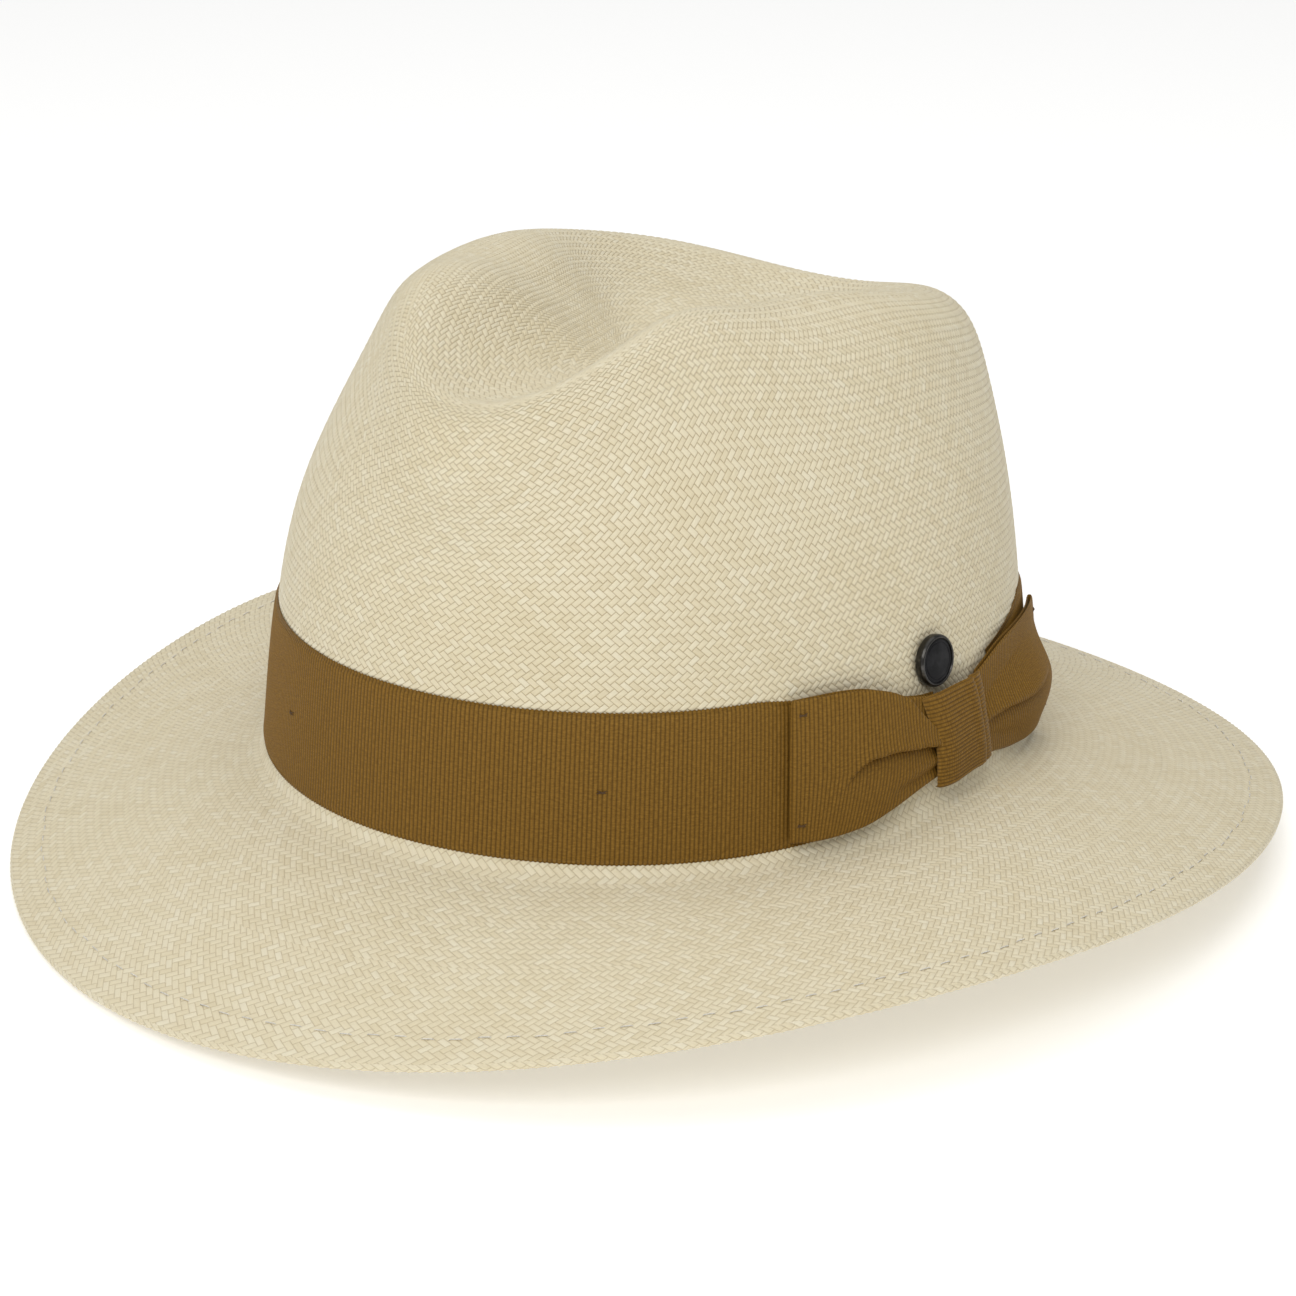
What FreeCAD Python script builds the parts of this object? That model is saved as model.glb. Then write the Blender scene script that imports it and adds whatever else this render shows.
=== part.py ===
import FreeCAD, Part
import Sketcher
import math
import os
from FreeCAD import Placement, Rotation, Vector

# A woven straw panama hat with a creased crown, grosgrain ribbon and bow, a pin badge and a sweatband.
# Units are millimetres.  The hat's front faces -Y, the wearer's left is +X, and +Z is up.
# Angles round the hat start at the front and grow towards the wearer's left, where the bow sits.

doc = FreeCAD.newDocument("panama_hat")

# ---------------------------------------------------------------- driving sizes

sheet = doc.addObject("Spreadsheet::Sheet", "Sizes")
next_row = 1


def drive(alias, value):
    """Put one driving size in the sheet under its alias."""
    global next_row
    sheet.set(f"A{next_row}", alias)
    sheet.set(f"B{next_row}", str(value))
    sheet.setAlias(f"B{next_row}", alias)
    next_row += 1
    return value


def drive_stations(alias, values):
    """Sizes at evenly spaced angles from the front of the hat (0) to the back (180)."""
    step = 180 // (len(values) - 1)
    return [drive(f"{alias}_at_{i * step}", value) for i, value in enumerate(values)]


# The oval that the crown stands on, measured outside the straw.
HALF_LENGTH = drive("oval_half_length", 102.5)
HALF_BREADTH = drive("oval_half_breadth", 89.8)

# Brim: width outside the oval, and height of its edge from the brim break.
BRIM_WIDTH = drive_stations("brim_width", [62.0, 61.6, 63.5, 64.8, 67.5])
BRIM_EDGE = drive_stations("brim_edge", [-26.9, -17.9, -9.0, -8.4, -17.1])
BRIM_TILT = drive("brim_tilt", 3.0)
BRIM_TWIST = drive("brim_twist", 7.2)
REAR_DROP = drive("brim_rear_drop", 7.0)
REAR_DROP_ANGLE = drive("brim_rear_drop_angle", 213.0)
REAR_DROP_SPREAD = drive("brim_rear_drop_spread", 22.0)
BRIM_SLOPE = drive("brim_straightness", 0.75)
BREAK_REACH = drive("break_curve_reach", 7.0)
LEFT_LIFT = drive("break_lift_under_bow", 5.0)

# Crown: how far each ring lies inside the oval, and how high the crease's ridge is.
WALL_AT_40 = drive_stations("wall_inset_low", [2.2, 2.7, 3.1, 3.3, 3.6])
WALL_AT_70 = drive_stations("wall_inset_high", [5.0, 6.5, 9.0, 7.5, 7.5, 8.0, 6.0])
SHOULDER = drive_stations("shoulder_inset", [12.0, 22.0, 24.0, 19.0, 15.0, 11.0, 10.5])
RIDGE_INSET = drive_stations("ridge_inset", [17.0, 34.0, 46.0, 46.0, 34.0, 27.0, 25.0])
RIDGE_HEIGHT = drive_stations("ridge_height", [103.0, 116.5, 119.5, 118.0, 113.0, 106.0, 100.0])
RIDGE_LIP = drive("ridge_lip", 11.0)
DENT_HEIGHT = drive("dent_floor_height", 96.0)
DENT_Y = drive("dent_centre_y", -5.0)

STRAW = drive("straw_thickness", 1.1)
HEM_WIDTH = drive("hem_width", 9.0)
HEM_STITCH_INSET = drive("hem_stitch_inset", 8.0)
HEM_STITCH_PITCH = drive("hem_stitch_pitch", 6.0)
HEM_THREAD = drive("hem_thread_diameter", 0.3)
STITCH_SHARE = drive("stitch_share_of_pitch", 0.42)

# Ribbon and bow.
GAP = drive("assembly_gap", 0.12)
RIBBON_BOTTOM = drive("ribbon_bottom_height", 2.8)
RIBBON_WIDTH = drive("ribbon_width", 35.7)
RIBBON = drive("ribbon_thickness", 0.7)
BAND_START = drive("band_start_behind_bow", 25.5)
BAND_END = drive("band_end_before_bow", 22.5)
BOW_ANGLE = drive("bow_angle", 85.0)
KNOT_HALF_ANGLE = drive("knot_half_angle", 7.6)
LOOP_END = {-1: drive("front_loop_end_angle", 33.2), 1: drive("rear_loop_end_angle", 38.5)}
KNOT_PROUD = drive("knot_proud", 5.4)
LOOP_PROUD = drive("bow_loop_proud", 5.0)
FLARE_DOWN = {-1: drive("front_loop_flare_down", 5.6), 1: drive("rear_loop_flare_down", 6.2)}
FLARE_UP = {-1: drive("front_loop_flare_up", 6.0), 1: drive("rear_loop_flare_up", 7.2)}
KNOT_BOTTOM = drive("knot_bottom_height", 11.0)
KNOT_TOP = drive("knot_top_height", 33.2)
TACK_THREAD = drive("tack_thread_diameter", 0.4)
TACK_LENGTH = drive("tack_length", 2.4)
TACK_ANGLES = [drive(f"tack_{i}_angle", angle) for i, angle in enumerate((26.0, 334.0, 268.0, 212.0, 152.0))]
TACK_HEIGHT = drive("tack_height", 20.2)
BOW_TACK_BEFORE = drive("bow_tack_angle_before_fold", 1.8)
BOW_TACK_INSET = drive("bow_tack_inset", 5.0)
THREAD_CLEARANCE = drive("thread_clearance", 0.03)

# Pin badge above the knot, with its clutch inside the crown.
BADGE_ANGLE = drive("badge_angle", 80.0)
BADGE_HEIGHT = drive("badge_height", 40.2)
drive("badge_radius", 6.2)
drive("badge_depth", 2.6)
drive("badge_rim_width", 0.9)
drive("badge_edge_break", 0.4)
drive("enamel_recess", 0.3)
drive("enamel_thickness", 0.7)
drive("enamel_clearance", 0.02)
drive("post_radius", 0.55)
drive("post_hole_radius", 0.61)
drive("post_length", 9.0)
drive("post_point_length", 1.6)
drive("clutch_radius", 5.0)
drive("clutch_height", 3.6)
drive("clutch_wall", 0.5)
drive("clutch_floor", 0.6)
drive("wing_length", 13.0)
drive("wing_breadth", 2.2)
drive("wing_thickness", 0.5)
drive("clutch_gap", 0.3)

# Inside the head opening.
SWEATBAND = drive("sweatband_thickness", 0.9)
SWEATBAND_GAP = drive("sweatband_gap", 0.35)
SWEATBAND_HEIGHT = drive("sweatband_height", 26.8)
SWEATBAND_BOTTOM = drive("sweatband_bottom_height", 2.8)
REED_HEIGHT = drive("reed_height", 1.8)
REED_THICKNESS = drive("reed_thickness", 1.4)
SWEATBAND_STITCH = drive("sweatband_stitch_pitch", 6.0)
SWEATBAND_STITCH_UP = drive("sweatband_stitch_height", 1.6)
TAPE_WIDTH = drive("seam_tape_width", 11.0)
TAPE_INSET = drive("seam_tape_inset", 0.5)
LABEL = drive("label_thickness", 0.35)
SIZE_LABEL_ANGLE = drive("size_label_angle", 204.0)
SIZE_LABEL_WIDTH = drive("size_label_width", 16.0)
SIZE_LABEL_HEIGHT = drive("size_label_height", 12.0)
SIZE_LABEL_UP = drive("size_label_up", 10.0)
CARE_LABEL_ANGLE = drive("care_label_angle", 156.0)
CARE_LABEL_WIDTH = drive("care_label_width", 22.0)
CARE_LABEL_HEIGHT = drive("care_label_height", 22.0)
CARE_LABEL_UP = drive("care_label_up", 4.0)

# The hat leans this much to stand on its brim, and this far moves its box's middle over the origin.
REST_PITCH = drive("rest_pitch", -2.17)
REST_LIFT = drive("rest_lift", 26.72)
REST_Y = drive("rest_shift_y", -1.89)

doc.recompute()


def size(alias):
    return float(sheet.get(alias))


# ---------------------------------------------------------------- the hat's surface

RING_POLES = 72
CUBIC = 3


def cosine_series(values):
    """Return the function of angle that is even, smooth, and passes through the station values."""
    count = len(values)
    last = count - 1
    terms = []
    for k in range(count):
        total = 0.0
        for i, value in enumerate(values):
            weight = 0.5 if i in (0, last) else 1.0
            total += weight * value * math.cos(math.pi * k * i / last)
        share = 1.0 if k in (0, last) else 2.0
        terms.append(total * share / last)
    return lambda angle: sum(term * math.cos(k * angle) for k, term in enumerate(terms))


brim_width = cosine_series(BRIM_WIDTH)
brim_edge_even = cosine_series(BRIM_EDGE)
wall_low = cosine_series(WALL_AT_40)
wall_high = cosine_series(WALL_AT_70)
shoulder = cosine_series(SHOULDER)
ridge_inset = cosine_series(RIDGE_INSET)
ridge_height = cosine_series(RIDGE_HEIGHT)


def bell(angle, centre_deg, width_deg):
    away = (math.degrees(angle) - centre_deg + 180.0) % 360.0 - 180.0
    return math.exp(-((away / width_deg) ** 2))


def brim_edge(angle):
    lean = BRIM_TILT * math.sin(angle) + BRIM_TWIST * math.sin(2.0 * angle)
    return brim_edge_even(angle) + lean - REAR_DROP * bell(angle, REAR_DROP_ANGLE, REAR_DROP_SPREAD)


def break_height(angle):
    """The fold between brim and crown lifts a little on the side that carries the bow."""
    return LEFT_LIFT * max(0.0, math.sin(angle)) ** 6


def oval(angle, outset, z):
    """A point at a distance outside the crown's oval, square to it."""
    c, s = math.cos(angle), math.sin(angle)
    radius = 1.0 / math.hypot(c / HALF_LENGTH, s / HALF_BREADTH)
    on_oval = Vector(radius * s, -radius * c, z)
    square = Vector(on_oval.x / HALF_BREADTH**2, on_oval.y / HALF_LENGTH**2, 0.0)
    return on_oval + square.normalize() * outset


def section(angle):
    """Poles of the hat's section at one angle, from the brim's edge to the middle of the crown."""
    low = break_height(angle)
    fall = brim_edge(angle) - low
    width = brim_width(angle)
    poles = []
    for share in (1.0, 0.86, 0.6, 0.32, BREAK_REACH / width):
        drop = BRIM_SLOPE * share + (1.0 - BRIM_SLOPE) * share**2
        poles.append(oval(angle, width * share, low + fall * drop))
    poles.append(oval(angle, 0.0, low))
    poles.append(oval(angle, -0.6, low + 8.0))
    poles.append(oval(angle, -wall_low(angle), low + 40.0))
    poles.append(oval(angle, -wall_high(angle), low + 70.0))
    top = ridge_height(angle)
    outer = shoulder(angle)
    ridge = ridge_inset(angle)
    poles.append(oval(angle, -outer, top - 20.0))
    poles.append(oval(angle, -outer - 0.3 * (ridge - outer), top - 5.0))
    poles.append(oval(angle, -ridge, top + 1.0))
    lip = oval(angle, -ridge - RIDGE_LIP, top - 2.5)
    poles.append(lip)
    middle = Vector(0.0, DENT_Y, DENT_HEIGHT)
    for share, height in ((0.62, 0.45 * top + 0.55 * DENT_HEIGHT), (0.34, DENT_HEIGHT), (0.12, DENT_HEIGHT)):
        poles.append(Vector(lip.x * share, DENT_Y + (lip.y - DENT_Y) * share, height))
    poles.append(middle)
    return poles


def spline_face(grid, closed):
    """A B-spline surface from a grid of poles, closed round the first direction or open."""
    rows, columns = len(grid), len(grid[0])
    surface = Part.BSplineSurface()

    def clamped(count, degree):
        spans = count - degree
        return [degree + 1] + [1] * (spans - 1) + [degree + 1], [i / spans for i in range(spans + 1)]

    column_degree = min(CUBIC, columns - 1)
    v_mults, v_knots = clamped(columns, column_degree)
    if closed:
        u_mults, u_knots = [1] * (rows + 1), [i / rows for i in range(rows + 1)]
        row_degree = CUBIC
    else:
        row_degree = min(CUBIC, rows - 1)
        u_mults, u_knots = clamped(rows, row_degree)
    surface.buildFromPolesMultsKnots(
        grid, u_mults, v_mults, u_knots, v_knots, closed, False, row_degree, column_degree
    )
    return surface


def ring_angles(count):
    return [2.0 * math.pi * i / count for i in range(count)]


outside = spline_face([section(angle) for angle in ring_angles(RING_POLES)], closed=True)

# The surface's second parameter runs over 14 spans; the wall lies between these two.
SPANS = 14.0
WALL_V = (4.0 / SPANS, 9.0 / SPANS)
INSIDE_HEIGHT = 60.0


def angle_of(point):
    return math.atan2(point.x, -point.y) % (2.0 * math.pi)


def surface_u(angle, v):
    """The parameter whose point on the outside surface lies at an angle round the hat, by search."""
    u = angle / (2.0 * math.pi)
    for _ in range(4):
        off = (angle_of(outside.value(u % 1.0, v)) - angle + math.pi) % (2.0 * math.pi) - math.pi
        u -= off / (2.0 * math.pi)
    return u % 1.0


def outward(u, v):
    """The unit normal that points out of the crown, or up from the brim."""
    normal = outside.normal(u, v)
    point = outside.value(u, v)
    up_and_out = Vector(point.x, point.y, INSIDE_HEIGHT) if v > WALL_V[0] else Vector(0.0, 0.0, 1.0)
    return normal if normal.dot(up_and_out) > 0.0 else normal * -1.0


def wall_point(angle_deg, z, standoff):
    """A point on the crown's wall at a height, moved out from the straw's outside by standoff."""
    angle = math.radians(angle_deg)
    low, high = WALL_V
    for _ in range(26):
        middle = 0.5 * (low + high)
        u = surface_u(angle, middle)
        if outside.value(u, middle).z < z:
            low = middle
        else:
            high = middle
    u = surface_u(angle, low)
    return outside.value(u, low) + outward(u, low) * standoff


def wall_frame(angle_deg, z, standoff=0.0):
    """A placement on the wall whose Z points straight out and whose Y points up the wall."""
    point = wall_point(angle_deg, z, standoff)
    out = (wall_point(angle_deg, z, 1.0) - wall_point(angle_deg, z, 0.0)).normalize()
    up_wall = (wall_point(angle_deg, z + 1.0, 0.0) - wall_point(angle_deg, z - 1.0, 0.0)).normalize()
    return Placement(point, Rotation(up_wall.cross(out), up_wall, out, "ZXY"))


# ---------------------------------------------------------------- solids from surfaces


def closed_solid(faces):
    shell = Part.makeShell(faces)
    if len(faces) > 1:
        shell.sewShape()
    solid = Part.makeSolid(shell)
    if solid.Volume < 0.0:
        solid.reverse()
    return solid


def sheet_solid(outer, inner, closed):
    """A solid between two grids of poles: a ring when closed, otherwise a curved plate."""
    faces = [spline_face(outer, closed).toShape(), spline_face(inner, closed).toShape()]
    for column in (0, -1):
        rim = [[a[column], b[column]] for a, b in zip(outer, inner)]
        faces.append(spline_face(rim, closed).toShape())
    if not closed:
        for row in (0, -1):
            end = [[a, b] for a, b in zip(outer[row], inner[row])]
            faces.append(spline_face(end, closed).toShape())
    return closed_solid(faces)


def spread(first, last, count):
    return [first + (last - first) * i / (count - 1) for i in range(count)]


def wall_grid(angles, heights, standoff, levels=13):
    """Poles on the wall; heights and standoff are functions of angle and of the share of height."""
    grid = []
    for angle in angles:
        bottom, top = heights(angle)
        grid.append([
            wall_point(angle, bottom + (top - bottom) * share, standoff(angle, share))
            for share in spread(0.0, 1.0, levels)
        ])
    return grid


def stitch(start, end, diameter):
    run = end - start
    return Part.makeCylinder(diameter / 2.0, run.Length, start, run)


def add_feature(label, shape):
    feature = doc.addObject("Part::Feature", label)
    feature.Label = label
    feature.Shape = shape
    return feature


# ---------------------------------------------------------------- straw body

INNER_COLUMNS = 64


def straw_depth(u, v):
    """The straw is one layer thick, and two where the brim's edge is folded under."""
    from_edge = (outside.value(u, v) - outside.value(u, 0.0)).Length
    fold = min(1.0, max(0.0, (HEM_WIDTH + 1.0 - from_edge) / 2.0))
    return STRAW * (1.0 + fold)


def inside_column(row):
    """Poles of the straw's inside level with one row of the outside's poles, where u lags by one."""
    u = ((row - 1) / RING_POLES) % 1.0
    poles = []
    for column in range(INNER_COLUMNS):
        v = column / (INNER_COLUMNS - 1.0)
        if column == INNER_COLUMNS - 1:
            poles.append(outside.value(0.0, 1.0) - Vector(0.0, 0.0, STRAW))
        else:
            poles.append(outside.value(u, v) - outward(u, v) * straw_depth(u, v))
    return poles


def make_straw():
    inner = [inside_column(row) for row in range(RING_POLES)]
    rim = [[section(angle)[0], column[0]] for angle, column in zip(ring_angles(RING_POLES), inner)]
    faces = [outside, spline_face(inner, closed=True), spline_face(rim, closed=True)]
    return closed_solid([face.toShape() for face in faces])


hat_shell = add_feature("hat_shell", make_straw())

badge_seat = wall_frame(BADGE_ANGLE, BADGE_HEIGHT)
post_hole = doc.addObject("Part::Cylinder", "post_hole")
post_hole.setExpression("Radius", "Sizes.post_hole_radius")
post_hole.setExpression("Height", "Sizes.post_length")
post_hole.Placement = badge_seat.multiply(Placement(Vector(0, 0, -size("post_length") / 2.0), Rotation()))

hat_body = doc.addObject("Part::Cut", "hat_body")
hat_body.Base = hat_shell
hat_body.Tool = post_hole

# ---------------------------------------------------------------- stitches and ribbon


def brim_point(angle_deg, from_edge, standoff):
    """A point on the brim's top at a distance in from the edge, standoff above it."""
    angle = math.radians(angle_deg)
    low, high = 0.0, WALL_V[0]
    for _ in range(24):
        middle = 0.5 * (low + high)
        u = surface_u(angle, middle)
        if (outside.value(u, middle) - outside.value(u, 0.0)).Length < from_edge:
            low = middle
        else:
            high = middle
    u = surface_u(angle, low)
    depth = 0.0 if standoff > 0.0 else straw_depth(u, low)
    return outside.value(u, low) + outward(u, low) * (standoff - depth)


def make_hem_stitching():
    """Running stitches that hold the folded edge, seen on top and, between those, underneath."""
    around = math.pi * (HALF_LENGTH + HALF_BREADTH + 2.0 * BRIM_WIDTH[2])
    count = int(around / HEM_STITCH_PITCH)
    turn = 360.0 / count
    clear = HEM_THREAD / 2.0 + THREAD_CLEARANCE
    stitches = []
    for i in range(count):
        for shift, standoff in ((0.0, clear), (0.5, -clear)):
            start = brim_point((i + shift) * turn, HEM_STITCH_INSET, standoff)
            end = brim_point((i + shift + STITCH_SHARE) * turn, HEM_STITCH_INSET, standoff)
            stitches.append(stitch(start, end, HEM_THREAD))
    return Part.makeCompound(stitches)


add_feature("hem_stitching", make_hem_stitching())


def ribbon_heights(angle_deg):
    low = RIBBON_BOTTOM + break_height(math.radians(angle_deg))
    return low, low + RIBBON_WIDTH


def make_ribbon_band():
    """The ribbon runs round the crown from one bow loop to the other."""
    angles = spread(BOW_ANGLE + BAND_START, 360.0 + BOW_ANGLE - BAND_END, 145)
    outer = wall_grid(angles, ribbon_heights, lambda angle, up: GAP + RIBBON)
    inner = wall_grid(angles, ribbon_heights, lambda angle, up: GAP)
    return sheet_solid(outer, inner, closed=False)


add_feature("ribbon_band", make_ribbon_band())

# ---------------------------------------------------------------- bow

OVER_BAND = 2.0 * GAP + RIBBON
KNOT_GAP_ANGLE = 0.15


def loop_reach(side, angle):
    """Share of a loop's length at an angle, from the knot (0) to its fold (1)."""
    near = KNOT_HALF_ANGLE + KNOT_GAP_ANGLE
    return (abs(angle - BOW_ANGLE) - near) / (LOOP_END[side] - near)


def loop_heights(side, angle):
    widen = math.sin(0.5 * math.pi * min(1.0, max(0.0, loop_reach(side, angle)) * 1.35))
    return KNOT_BOTTOM - FLARE_DOWN[side] * widen, KNOT_TOP + FLARE_UP[side] * widen


def loop_standoff(side, angle, up):
    """How far the outside of a loop stands off the wall, at a share up its height."""
    along = loop_reach(side, angle)
    swell = (0.45 + 0.4 * math.sin(math.pi * along)) * (1.0 - 0.35 * along)
    return OVER_BAND + RIBBON + LOOP_PROUD * swell * math.sin(math.pi * (0.12 + 0.76 * up))


def make_loop(side):
    """A soft loop of ribbon between the knot and its outer fold; side is -1 in front, +1 behind."""
    near = BOW_ANGLE + side * (KNOT_HALF_ANGLE + KNOT_GAP_ANGLE)
    angles = spread(near, BOW_ANGLE + side * LOOP_END[side], 25)

    def heights(angle):
        return loop_heights(side, angle)

    outer = wall_grid(angles, heights, lambda angle, up: loop_standoff(side, angle, up))
    inner = wall_grid(angles, heights, lambda angle, up: OVER_BAND)
    return sheet_solid(outer, inner, closed=False)


add_feature("bow_front_loop", make_loop(-1))
add_feature("bow_rear_loop", make_loop(1))


def make_knot():
    """The short wrap of ribbon that gathers the two loops."""

    def heights(angle):
        return KNOT_BOTTOM, KNOT_TOP

    def outer_standoff(angle, up):
        across = (angle - BOW_ANGLE) / KNOT_HALF_ANGLE
        round_over = math.sqrt(1.0 - 0.45 * across**4)
        return OVER_BAND + KNOT_PROUD * round_over * math.sqrt(math.sin(math.pi * (0.16 + 0.68 * up)))

    angles = spread(BOW_ANGLE - KNOT_HALF_ANGLE, BOW_ANGLE + KNOT_HALF_ANGLE, 13)
    outer = wall_grid(angles, heights, outer_standoff)
    inner = wall_grid(angles, heights, lambda angle, up: OVER_BAND)
    return sheet_solid(outer, inner, closed=False)


add_feature("bow_knot", make_knot())


def tack(angle_deg, z, standoff):
    """A tiny bar of thread lying along the ribbon."""
    half = 0.5 * math.degrees(TACK_LENGTH / HALF_LENGTH)
    start = wall_point(angle_deg - half, z, standoff)
    end = wall_point(angle_deg + half, z, standoff)
    return stitch(start, end, TACK_THREAD)


over_ribbon = GAP + RIBBON + TACK_THREAD / 2.0 + THREAD_CLEARANCE + 0.05
tacks = [tack(angle, TACK_HEIGHT, over_ribbon) for angle in TACK_ANGLES]
add_feature("ribbon_tacks", Part.makeCompound(tacks))


def make_bow_tacks():
    """Bars of thread at the outer corners of the loops, which hold them to the band."""
    bars = []
    for side in (-1, 1):
        angle = BOW_ANGLE + side * (LOOP_END[side] - BOW_TACK_BEFORE)
        low, high = loop_heights(side, angle)
        for z in (low + BOW_TACK_INSET, high - BOW_TACK_INSET):
            on_loop = loop_standoff(side, angle, (z - low) / (high - low))
            bars.append(tack(angle, z, on_loop + TACK_THREAD / 2.0 + 2.0 * GAP))
    return Part.makeCompound(bars)


add_feature("bow_tacks", make_bow_tacks())

# ---------------------------------------------------------------- pin badge


def signed(term):
    """Split a term such as "-badge_depth" into its sign and alias."""
    return (-1.0, term[1:]) if term.startswith("-") else (1.0, term)


def total(terms):
    return sum(sign * size(alias) for sign, alias in map(signed, terms))


def formula(terms):
    """The sheet's expression for a sum of signed sizes."""
    return "".join(("-" if sign < 0.0 else "+") + f" Sizes.{alias} " for sign, alias in map(signed, terms))


def turned_body(label, outline):
    """A PartDesign body turned round Z from a closed outline of (radius, height) sums of sizes."""
    body = doc.addObject("PartDesign::Body", label)
    body.Label = label
    sketch = body.newObject("Sketcher::SketchObject", label + "_profile")
    plane = next(f for f in body.Origin.OriginFeatures if f.Role == "XZ_Plane")
    sketch.AttachmentSupport = [(plane, "")]
    sketch.MapMode = "FlatFace"
    points = [Vector(total(r), total(z), 0) for r, z in outline]
    count = len(points)
    for i in range(count):
        sketch.addGeometry(Part.LineSegment(points[i], points[(i + 1) % count]), False)
    for i in range(count):
        sketch.addConstraint(Sketcher.Constraint("Coincident", i, 2, (i + 1) % count, 1))
    for i, (r, z) in enumerate(outline):
        for kind, axis, terms in (("DistanceX", -2, r), ("DistanceY", -1, z)):
            if terms:
                index = sketch.addConstraint(Sketcher.Constraint(kind, -1, 1, i, 1, total(terms)))
                sketch.setExpression(f"Constraints[{index}]", formula(terms))
            else:
                sketch.addConstraint(Sketcher.Constraint("PointOnObject", i, 1, axis))
    turn = body.newObject("PartDesign::Revolution", label + "_turn")
    turn.Profile = (sketch, [""])
    turn.ReferenceAxis = (sketch, ["V_Axis"])
    turn.Angle = 360.0
    body.Tip = turn
    return body


def bound_cylinder(label, radius, height):
    cylinder = doc.addObject("Part::Cylinder", label)
    cylinder.setExpression("Radius", radius)
    cylinder.setExpression("Height", height)
    return cylinder


# The badge is turned about its own post: Z points out of the crown, and 0 is the back of the badge.
ENAMEL_FLOOR = ("badge_depth", "-enamel_recess", "-enamel_thickness")
badge_frame = wall_frame(BADGE_ANGLE, BADGE_HEIGHT, size("clutch_gap"))
clutch_frame = wall_frame(BADGE_ANGLE, BADGE_HEIGHT, -STRAW - size("clutch_gap"))
inward_flip = Placement(Vector(0, 0, 0), Rotation(Vector(0, 1, 0), 180))

badge_bezel = turned_body("badge_bezel", [
    ((), ()),
    (("badge_radius", "-badge_edge_break"), ()),
    (("badge_radius",), ("badge_edge_break",)),
    (("badge_radius",), ("badge_depth", "-badge_edge_break")),
    (("badge_radius", "-badge_edge_break"), ("badge_depth",)),
    (("badge_radius", "-badge_rim_width"), ("badge_depth",)),
    (("badge_radius", "-badge_rim_width"), ENAMEL_FLOOR),
    ((), ENAMEL_FLOOR),
])
badge_bezel.Placement = badge_frame

enamel_radius = formula(("badge_radius", "-badge_rim_width", "-enamel_clearance"))
badge_face = bound_cylinder("badge_face", enamel_radius, "Sizes.enamel_thickness")
badge_face.Placement = badge_frame.multiply(Placement(Vector(0, 0, total(ENAMEL_FLOOR)), Rotation()))

post_shaft = bound_cylinder("post_shaft", "Sizes.post_radius", "Sizes.post_length - Sizes.post_point_length")
post_point = doc.addObject("Part::Cone", "post_point")
post_point.setExpression("Radius1", "Sizes.post_radius")
post_point.setExpression("Radius2", "Sizes.post_radius / 5")
post_point.setExpression("Height", "Sizes.post_point_length")
post_point.setExpression("Placement.Base.z", "Sizes.post_length - Sizes.post_point_length")
badge_post = doc.addObject("Part::Fuse", "badge_post")
badge_post.Base = post_shaft
badge_post.Tool = post_point
badge_post.Placement = badge_frame.multiply(inward_flip)

clutch_cap = turned_body("clutch_cap", [
    (("post_hole_radius",), ()),
    (("clutch_radius",), ()),
    (("clutch_radius",), ("clutch_height",)),
    (("clutch_radius", "-clutch_wall"), ("clutch_height",)),
    (("clutch_radius", "-clutch_wall"), ("clutch_floor",)),
    (("post_hole_radius",), ("clutch_floor",)),
])
clutch_cap.Placement = clutch_frame.multiply(inward_flip)

wing_bar = doc.addObject("Part::Box", "wing_bar")
wing_bar.setExpression("Length", "Sizes.wing_length")
wing_bar.setExpression("Width", "Sizes.wing_breadth")
wing_bar.setExpression("Height", "Sizes.wing_thickness")
wing_bar.setExpression("Placement.Base.x", "-Sizes.wing_length / 2")
wing_bar.setExpression("Placement.Base.y", "-Sizes.wing_breadth / 2")
wing_hole = bound_cylinder("wing_hole", "Sizes.post_hole_radius", "Sizes.wing_thickness")
clutch_wings = doc.addObject("Part::Cut", "clutch_wings")
clutch_wings.Base = wing_bar
clutch_wings.Tool = wing_hole
wings_up = Placement(Vector(0, 0, size("clutch_height")), Rotation())
clutch_wings.Placement = clutch_frame.multiply(inward_flip).multiply(wings_up)

# ---------------------------------------------------------------- inside the head opening

SWEATBAND_OUT = -(STRAW + SWEATBAND_GAP)
SWEATBAND_IN = SWEATBAND_OUT - SWEATBAND
SWEATBAND_TOP = SWEATBAND_BOTTOM + SWEATBAND_HEIGHT


def inside_strip(label, angles, bottom, height, depth, thickness, closed):
    """A strip of cloth on the inside of the wall, following the lift of the brim break."""

    def heights(angle):
        base = break_height(math.radians(angle % 360.0)) + bottom
        return base, base + height

    outer = wall_grid(angles, heights, lambda angle, up: depth)
    inner = wall_grid(angles, heights, lambda angle, up: depth - thickness)
    add_feature(label, sheet_solid(outer, inner, closed))


def inside_patch(label, middle, width, up, height):
    """A patch lying on the sweatband, centred on an angle and starting that far up from its lower edge."""
    half = 0.5 * math.degrees(width / HALF_LENGTH)
    angles = spread(middle - half, middle + half, 9)
    inside_strip(label, angles, SWEATBAND_BOTTOM + up, height, SWEATBAND_IN - GAP, LABEL, False)


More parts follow.
